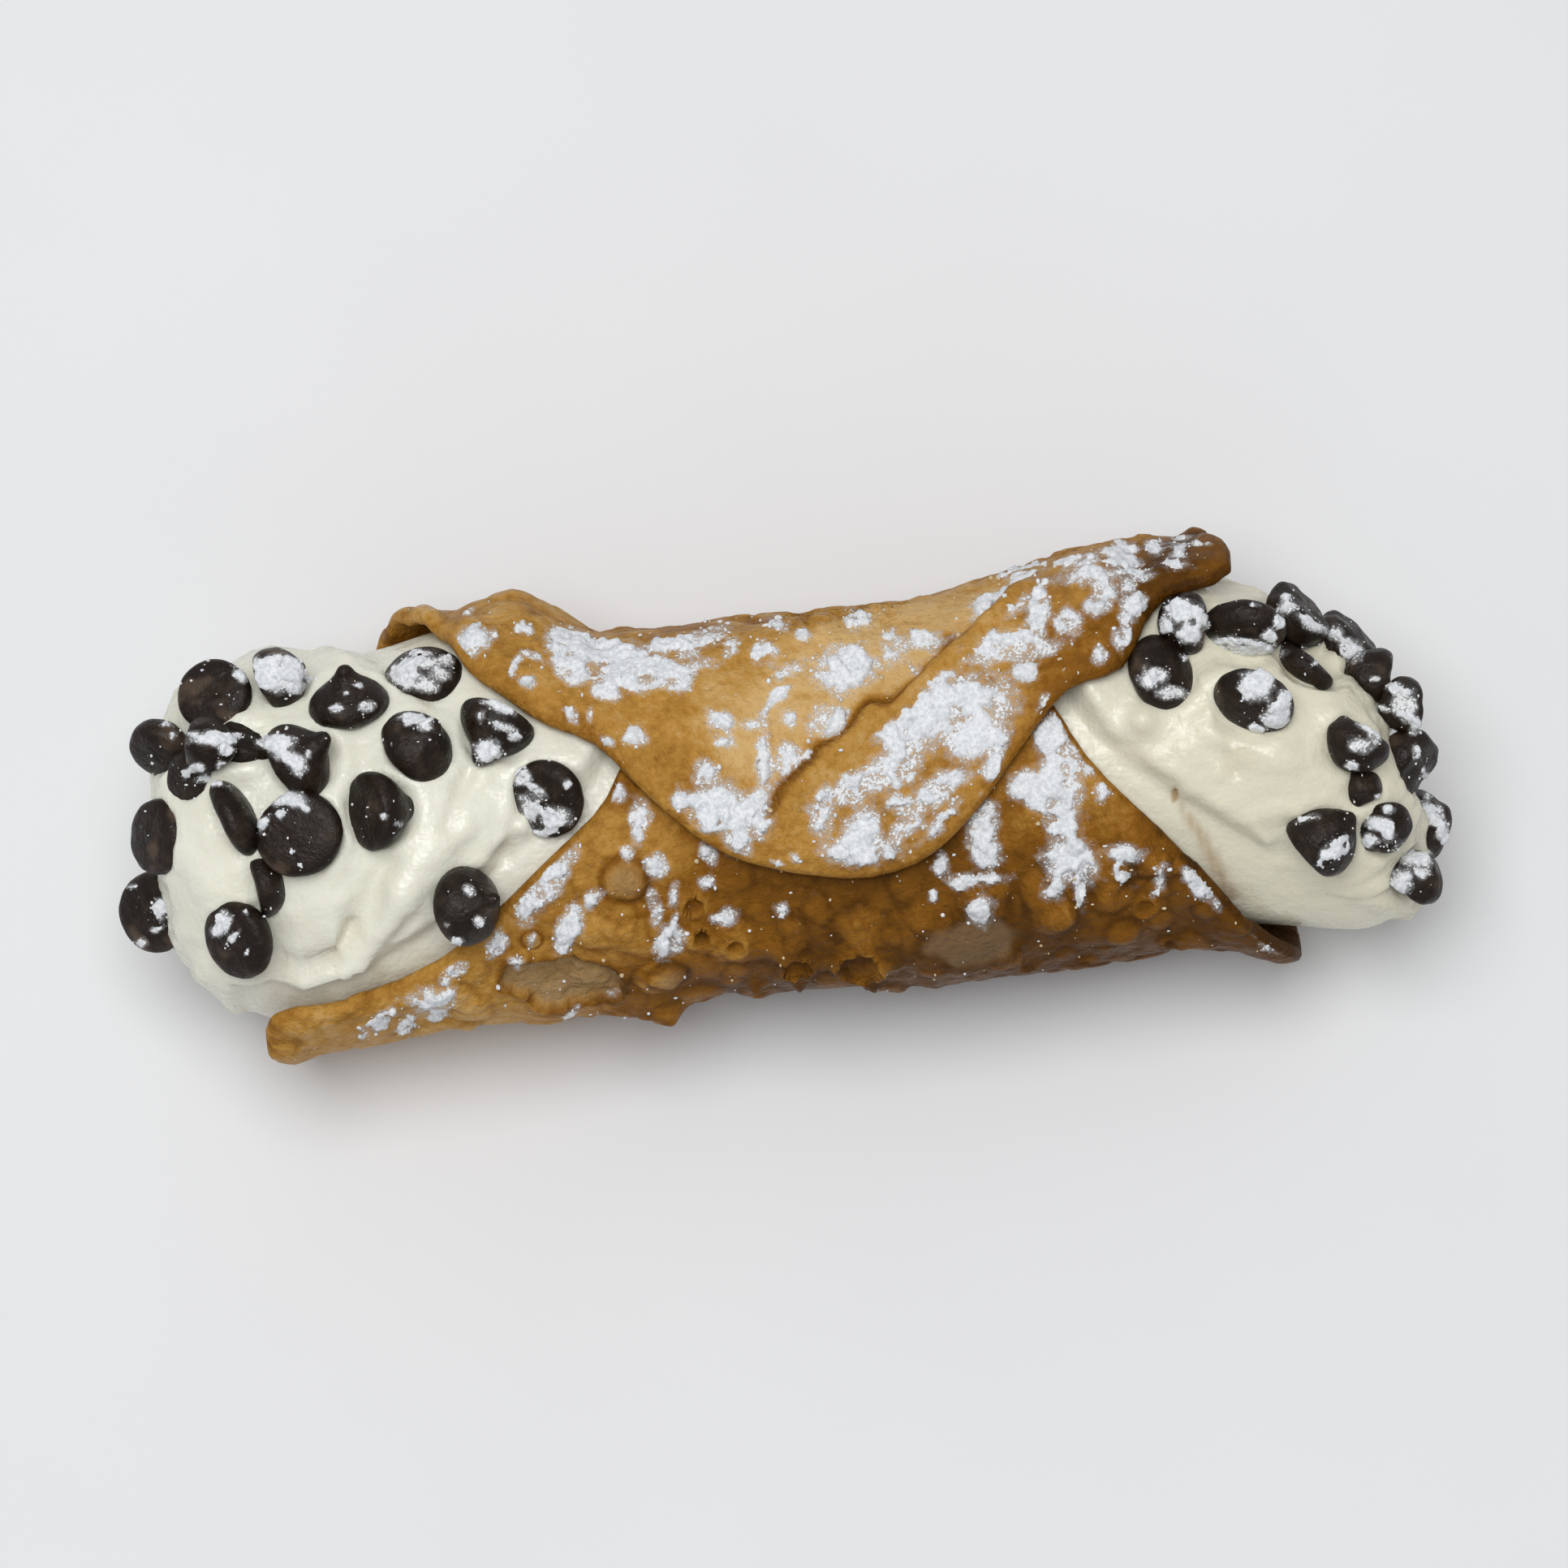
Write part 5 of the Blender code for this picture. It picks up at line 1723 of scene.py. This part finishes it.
KISS, DOME, BUTTON, CHUNK = DropShape
DROP_PLACES: dict[str, Sequence[tuple]] = {
    "left": (
        (BUTTON, -67.25, 17, 40.75, -15, -70, 8.6, 0.9), (DOME, -59, 18.5, 42, 15, 20, 7.6),
        (KISS, -51.5, 15, 43.5, 90, 35, 9.4), (DOME, -42.25, 17.75, 39, 95, 50, 9.2),
        (KISS, -34.5, 8.5, 43.5, -120, 10, 8.8, 1.1), (KISS, -43, 8, 46, 35, 45, 9.4),
        (BUTTON, -74.5, 12.6, 38, 55, -30, 7.8), (CHUNK, -68.5, 9.9, 47.9, -20, 10, 6.4),
        (BUTTON, -70.5, 7.5, 41, 20, -45, 7.2, 0.9), (CHUNK, -64.5, 9.75, 43, -120, -45, 6.6, 0.85),
        (KISS, -57.5, 7.5, 46.75, 25, 30, 9.2, 1.1), (BUTTON, -65.5, 1.75, 45.25, 20, 10, 9.4, 0.9),
        (BUTTON, -58.75, -1.75, 46, 40, -75, 9.8, 0.9), (BUTTON, -75.5, 1.5, 36.5, 5, -40, 8.8),
        (BUTTON, -78, -5.5, 25, 25, -50, 9.2), (BUTTON, -67.25, -12.25, 39.5, 30, -45, 9),
        (KISS, -49, 0, 46.5, 5, -35, 9, 1.1), (DOME, -63, -6, 41.25, 10, -5, 8.2, 0.8),
        (KISS, -39.25, -12.25, 43.75, -5, 40, 9.5, 1.1), (BUTTON, -28.5, 0, 43.5, 45, -45, 9.2)),
    "right": (
        (CHUNK, 49.5, 12.5, 43, 170, 20, 7.6), (BUTTON, 57, 10, 43, -105, 25, 9.2),
        (BUTTON, 47, 6.5, 44.5, 10, 55, 8.8), (BUTTON, 56.5, 0.5, 46, -115, 30, 9.3),
        (CHUNK, 63.75, 12.75, 35.75, -145, -25, 8.6), (CHUNK, 69.75, 10, 30.25, -145, -20, 8.2),
        (BUTTON, 63.25, 5.5, 37.5, -135, -10, 8, 0.8, 2.6, 2.6), (CHUNK, 72.25, 5, 33.75, 165, 5, 6.5),
        (CHUNK, 68.5, -5, 42.25, -130, 0, 7.5), (CHUNK, 75.5, 0.5, 35.5, 170, 5, 6.6, 0.95),
        (CHUNK, 75, -6, 32.5, 135, -20, 9), (CHUNK, 68.5, -9.25, 39, 115, 10, 5.6, 0.8),
        (DOME, 63.5, -15.5, 39, 30, 20, 8.6, 1.35), (CHUNK, 71.25, -15, 37.25, -85, 20, 6.6, 0.9),
        (CHUNK, 77.5, -12.5, 23.5, 5, 0, 8), (CHUNK, 75, -19.5, 29.5, 50, 20, 7.4))}


# The sugar

class GrainDraw(NamedTuple):
    """A draw of grains: chance away from and beside sugar, half sizes, seed and places tried."""

    alone: float
    beside: float
    small: float
    large: float
    seed: int
    tried: int = 0


@dataclass
class PowderedSugar:
    """Powdered sugar sifted over the cannolo: thick patches, dust and loose grains."""

    camera: PhotoCamera
    cell: float = 0.28
    threshold: float = 0.50
    deepest: float = 0.68
    deepest_on_drops: float = 0.42
    sunk: float = 0.14
    buried: float = 0.4
    shake: float = 0.38
    wander: float = 9.0
    wide: float = 3.4
    drop_grid: tuple[int, int] = (56, 92)
    step: float = 0.2
    tried_along: tuple[float, float] = (-66, 61)
    tried_round: tuple[float, float] = (80, 302)
    loose: GrainDraw = GrainDraw(0.014, 0.17, 0.07, 0.38, 71, 26000)
    on_chocolate: GrainDraw = GrainDraw(0.008, 0.075, 0.05, 0.26, 73)
    crumbs: GrainDraw = GrainDraw(0.07, 0.10, 0.08, 0.34, 72, 7000)
    noise: LatticeNoise = LatticeNoise(60)
    grains: LatticeNoise = LatticeNoise(64)

    def fall(self, points: Array, normals: Array, spread: float = 1.75) -> Array:
        """Work out the smooth strength of the sugar at points of the dough.

        Args:
            points: places in millimetres.
            normals: the surface's normals there.
            spread: how far each patch reaches.

        Returns:
            The field of the patches seen in the photograph, none where the surface looks down.
        """
        column, row = self.camera.pixel(points)
        column += self.wander * self.noise.fractal(points, 2.6, 3)
        row += self.wander * self.noise.fractal(points + 50, 2.6, 3)
        seen = ellipse_field(column, row, DOUGH_PATCHES, spread)
        return seen * ease(0.02, 0.3, normals @ self.camera.axes()[0])

    def grainy(self, points: Array, fallen: Array) -> Array:
        """Return the strength with medium and fine clumps added where any sugar fell."""
        clumps = 1.2 * self.noise.fractal(points, 2.6, 3) + 0.85 * self.grains.fractal(points, 1.0, 2)
        return np.minimum(fallen, 0.95) + clumps * ease(0.0, 0.25, fallen)

    def dust(self, points: Array, normals: Array, shown: Array) -> Array:
        """Return the amount of fine dust on the dough, for the shader."""
        fallen = self.fall(points, normals, self.wide) * shown
        faint = 0.10 * ease(0.2, 0.8, normals[..., 2])
        return np.clip(0.27 * np.minimum(fallen, 2.4) + faint, 0, 1)

    def drop_fall(self, drop: ChocolateDrop, points: Array, normals: Array, spread: float = 1.75) -> Array:
        """Work out the smooth strength of the sugar on a drop.

        Args:
            drop: the drop.
            points: places on it in millimetres.
            normals: the surface's normals there.
            spread: how far each patch reaches.

        Returns:
            The field of the patches seen on the drops, with faint seeded clumps, on what faces up.
        """
        column, row = self.camera.pixel(points)
        noise = LatticeNoise(140 + drop.number)
        column += 5 * noise.fractal(points, 1.8, 2)
        row += 5 * noise.fractal(points + 50, 1.8, 2)
        seen = ellipse_field(column, row, DROP_PATCHES, spread)
        loose = 0.42 * ease(0.35, 0.75, noise.fractal(points + 90, 2.2, 2))
        return np.maximum(seen, loose) * ease(0.05, 0.4, normals @ self.camera.axes()[0])

    def drop_dust(self, drop: ChocolateDrop, points: Array, normals: Array) -> Array:
        """Return the amount of fine dust on a drop, for the shader."""
        return np.clip(0.30 * self.drop_fall(drop, points, normals, 3.0) + 0.06, 0, 1)

    def layer(self, points: Array, normals: Array, strength: Array, deepest: float,
              closed: bool = False) -> tuple[Array, Array]:
        """Lay sugar on a grid of a surface wherever the strength passes the threshold.

        Each point is first moved within the surface by a seeded share of a cell. The top rises from
        just below the surface at an island's edge to the deepest layer where the strength is
        greatest, with grains on it; the bottom lies buried in the surface.

        Args:
            points: grid of surface points.
            normals: the normals there.
            strength: the sugar's strength there.
            deepest: the layer's greatest depth.
            closed: whether the last column joins the first.

        Returns:
            Points and quads of the closed islands.
        """
        draw = np.random.default_rng(points.size)
        shaken = draw.uniform(-self.shake, self.shake, (2, *points.shape[:2], 1))
        shaken[:, [0, -1]] = 0
        shaken[:, :, [0, -1]] = 0
        points = points + shaken[0] * np.gradient(points, axis=0) + shaken[1] * np.gradient(points, axis=1)
        if closed:
            points, normals, strength = (rejoined(grid) for grid in (points, normals, strength))
        on = strength > self.threshold
        mask = sum(corner.astype(int) for corner in cell_corners(on)) >= 3
        for _ in range(3):
            first, third, fourth, second = cell_corners(mask)
            falling, rising = first & fourth & ~second & ~third, second & third & ~first & ~fourth
            mask[:-1, 1:] |= falling
            mask[:-1, :-1] |= rising
        inside = np.ones(on.shape, dtype=bool)
        padded = bordered(mask, closed)
        for down, across in product((0, 1), repeat=2):
            rows, columns = on.shape
            inside &= padded[down:down + rows, across:across + columns]
        depth = deepest * ease(self.threshold - 0.1, self.threshold + 0.6, strength)
        depth *= 0.60 + 0.80 * ease(-0.4, 0.6, self.noise.fractal(points + 20, 1.5, 2))
        depth *= ease(-0.3, 0.8, normals @ self.camera.axes()[0])
        depth += 0.12 * self.grains.smooth(points, 0.6) + 0.05 * self.noise.smooth(points, 1.1)
        top_height = np.where(inside, np.maximum(depth, 0.03), -self.sunk)
        top = points + normals * top_height[..., None]
        bottom = points - normals * self.buried
        return islands(top, bottom, mask, closed)

    def on_dough(self, dough: DoughRound, angles: tuple[float, float]) -> tuple[Array, Array]:
        """Lay the sugar on one layer of the dough.

        Args:
            dough: the dough round.
            angles: degrees round the tube that the layer covers.

        Returns:
            Points and quads of the patches.
        """
        along = np.arange(*dough.span, self.cell)
        angle = np.arange(*angles, self.cell / dough.mm_per_degree)
        along, angle = np.meshgrid(along, angle, indexing="ij")
        points = dough.outer(along, angle)
        normals = surface_normals(points)
        if normals[..., 2].sum() < 0:
            normals = -normals
        strength = self.grainy(points, self.fall(points, normals) * dough.takes_sugar(along, angle))
        bare = (dough.past_rim(along, angle) >= -0.5) | (dough.past_rim(along, angle + 360) <= -0.2)
        return self.layer(points, normals, np.where(bare, 0, strength), self.deepest)

    def on_drops(self, drops: Sequence[ChocolateDrop]) -> tuple[Array, Array]:
        """Lay sugar on the drops.

        Args:
            drops: the drops.

        Returns:
            Points and quads of the patches on all of them.
        """
        parts = []
        for drop in drops:
            grid = drop.surface(*self.drop_grid)
            normals = drop.normals(grid)
            strength = self.grainy(grid, self.drop_fall(drop, grid, normals))
            parts.append(self.layer(grid, normals, strength, self.deepest_on_drops, closed=True))
        return joined(parts)

    def on_cream(self, grid: Array) -> tuple[Array, Array]:
        """Lay the few small heaps of sugar on the cream.

        Args:
            grid: the cream's points, ring by ring.

        Returns:
            Points and quads of the heaps.
        """
        points = refined(grid, 2)
        normals = surface_normals(points)
        heart = points.mean(axis=1, keepdims=True)
        normals = normals * np.sign(((points - heart) * normals).sum(axis=(1, 2)))[:, None, None]
        column, row = self.camera.pixel(points)
        column += 4 * self.noise.fractal(points, 1.6, 2)
        fallen = ellipse_field(column, row, CREAM_PATCHES)
        fallen *= ease(0.1, 0.5, normals @ self.camera.axes()[0])
        return self.layer(points, normals, self.grainy(points, fallen), self.deepest)

    def scatter(self, places: Array, normals: Array, fallen: Array,
                grains: GrainDraw) -> tuple[Array, Array]:
        """Scatter loose grains over candidate places, most at the edges of where sugar fell.

        A grain is a ball of twenty faces, stretched by chance along each axis and sunk by a third.

        Args:
            places: candidate places in millimetres.
            normals: the surface's normals there.
            fallen: the sugar's strength there.
            grains: how many are kept, their sizes and their seed.

        Returns:
            Points and triangles of the grains.
        """
        draw = np.random.default_rng(grains.seed)
        chance = grains.alone + grains.beside * ease(0.0, 1.4, fallen) * ease(3.2, 2.2, fallen)
        kept = (draw.random(len(places)) < chance) & (normals @ self.camera.axes()[0] > 0.2)
        places, normals = places[kept], normals[kept]
        size = grains.small + (grains.large - grains.small) * draw.random(len(places)) ** 2.5
        ball, faces = twenty_faced_ball()
        stretch = draw.uniform(0.45, 1.2, (len(places), 1, 3))
        corners = ball * stretch * draw.uniform(0.85, 1.15, (len(places), len(ball), 1))
        points = places[:, None] + size[:, None, None] * (corners + 0.35 * normals[:, None])
        numbers = faces + len(ball) * np.arange(len(places))[:, None, None]
        return points.reshape(-1, 3), numbers.reshape(-1, 3)

    def grains_on_dough(self, dough: DoughRound, grains: GrainDraw) -> tuple[Array, Array]:
        """Scatter grains over both layers of the dough.

        Args:
            dough: the dough round.
            grains: how many, how large and which seed.

        Returns:
            Points and triangles of the grains.
        """
        draw = np.random.default_rng(grains.seed + 1000)
        along = draw.uniform(*self.tried_along, grains.tried)
        angle = draw.uniform(*self.tried_round, grains.tried)
        angle = np.where(dough.past_rim(along, angle) < -0.6, angle, angle - 360)
        on = dough.past_rim(along, angle) < -0.6
        along, angle = along[on], angle[on]
        places = dough.outer(along, angle)
        forward = dough.outer(along + self.step, angle) - places
        turned = dough.outer(along, angle + self.step / dough.mm_per_degree) - places
        normals = np.cross(turned, forward)
        normals /= np.linalg.norm(normals, axis=-1, keepdims=True)
        fallen = self.fall(places, normals, self.wide) * dough.takes_sugar(along, angle)
        return self.scatter(places, normals, fallen, grains)

    def grains_on_drops(self, drops: Sequence[ChocolateDrop], grains: GrainDraw) -> tuple[Array, Array]:
        """Scatter grains over the drops.

        Args:
            drops: the drops.
            grains: how many, how large and which seed.

        Returns:
            Points and triangles of the grains.
        """
        found = []
        for drop in drops:
            grid = drop.surface(drop.rings, drop.sides)
            normals = drop.normals(grid)
            fallen = self.drop_fall(drop, grid, normals, self.wide)
            found.append((grid.reshape(-1, 3), normals.reshape(-1, 3), fallen.ravel()))
        places, normals, fallen = (np.concatenate(parts) for parts in zip(*found))
        return self.scatter(places, normals, fallen, grains)


@dataclass
class Studio:
    """A pale floor, soft light from above the far side, and a pale world."""

    floor_half: float = 3000.0
    sky: tuple = (0.97, 0.98, 1.0, 1.0)
    sky_strength: float = 0.42
    lamp_size: float = 0.8
    lamp_power: float = 11.6
    lamp_place: tuple[float, float, float] = (-0.12, 0.07, 1.3)

    def floor(self, material: bpy.types.Material) -> None:
        """Lay the floor as one flat square with this finish."""
        half = self.floor_half * MM
        mesh = bpy.data.meshes.new("floor")
        mesh.from_pydata([(-half, -half, 0), (half, -half, 0), (half, half, 0), (-half, half, 0)], [],
                         [(0, 1, 2, 3)])
        mesh.materials.append(material)
        floor = bpy.data.objects.new("floor", mesh)
        bpy.context.scene.collection.objects.link(floor)

    def light(self) -> None:
        """Hang the soft lamp, set the world's light and show colours as they are."""
        data = bpy.data.lights.new("soft_lamp", "AREA")
        data.shape = "DISK"
        data.size = self.lamp_size
        data.energy = self.lamp_power
        lamp = bpy.data.objects.new("soft_lamp", data)
        place = Vector(self.lamp_place)
        turn = place.to_track_quat("Z", "Y").to_matrix().to_4x4()
        lamp.matrix_world = Matrix.Translation(place) @ turn
        bpy.context.scene.collection.objects.link(lamp)
        world = bpy.data.worlds.new("pale_world")
        world.use_nodes = True
        sky = world.node_tree.nodes["Background"].inputs
        sky["Color"].default_value = self.sky
        sky["Strength"].default_value = self.sky_strength
        bpy.context.scene.world = world
        bpy.context.scene.view_settings.view_transform = "Standard"


def chocolate_drops() -> list[ChocolateDrop]:
    """Return the drops of both ends, named by end and count and numbered on, as in the solids."""
    named = [(f"{end}_{count:02d}", row) for end, rows in DROP_PLACES.items()
             for count, row in enumerate(rows, 1)]
    return [ChocolateDrop(name, number, *row) for number, (name, row) in enumerate(named)]


def main() -> None:
    """Build the cannolo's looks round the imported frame, piece by piece."""
    logging.basicConfig(level=logging.INFO, format="%(name)s: %(message)s")
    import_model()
    dusting, grain = sugar_dusting(), fine_grain()
    camera = PhotoCamera()
    sugar = PowderedSugar(camera)
    dough = DoughRound()
    dough.build(FriedDough().material(dusting, grain), sugar)
    drops = chocolate_drops()
    cream = CreamFilling(dough, camera)
    cream.build(RicottaCream().material(grain), drops)
    chocolate = DarkChocolate().material(dusting, grain)
    for drop in drops:
        drop.build(chocolate, sugar)
    sugar_material = SugarFinish().material(grain)
    crumb_material = SugarFinish("dough_crumbs", (0.72, 0.62, 0.45), (0.55, 0.40, 0.22)).material(grain)
    patches = [*(sugar.on_dough(dough, angles) for angles in dough.layers), sugar.on_drops(drops),
               sugar.on_cream(cream.grid)]
    grains = [sugar.grains_on_dough(dough, sugar.loose), sugar.grains_on_drops(drops, sugar.on_chocolate)]
    crumbs = [sugar.grains_on_dough(dough, sugar.crumbs)]
    for name, parts, finish in (("sugar_patches", patches, sugar_material),
                                ("sugar_grains", grains, sugar_material),
                                ("dough_crumbs", crumbs, crumb_material)):
        points, faces = joined(parts)
        build_mesh(name, points, [faces], finish)
    studio = Studio()
    studio.floor(PaleFloor().material())
    studio.light()
    camera.place()


if __name__ == "__main__":
    main()
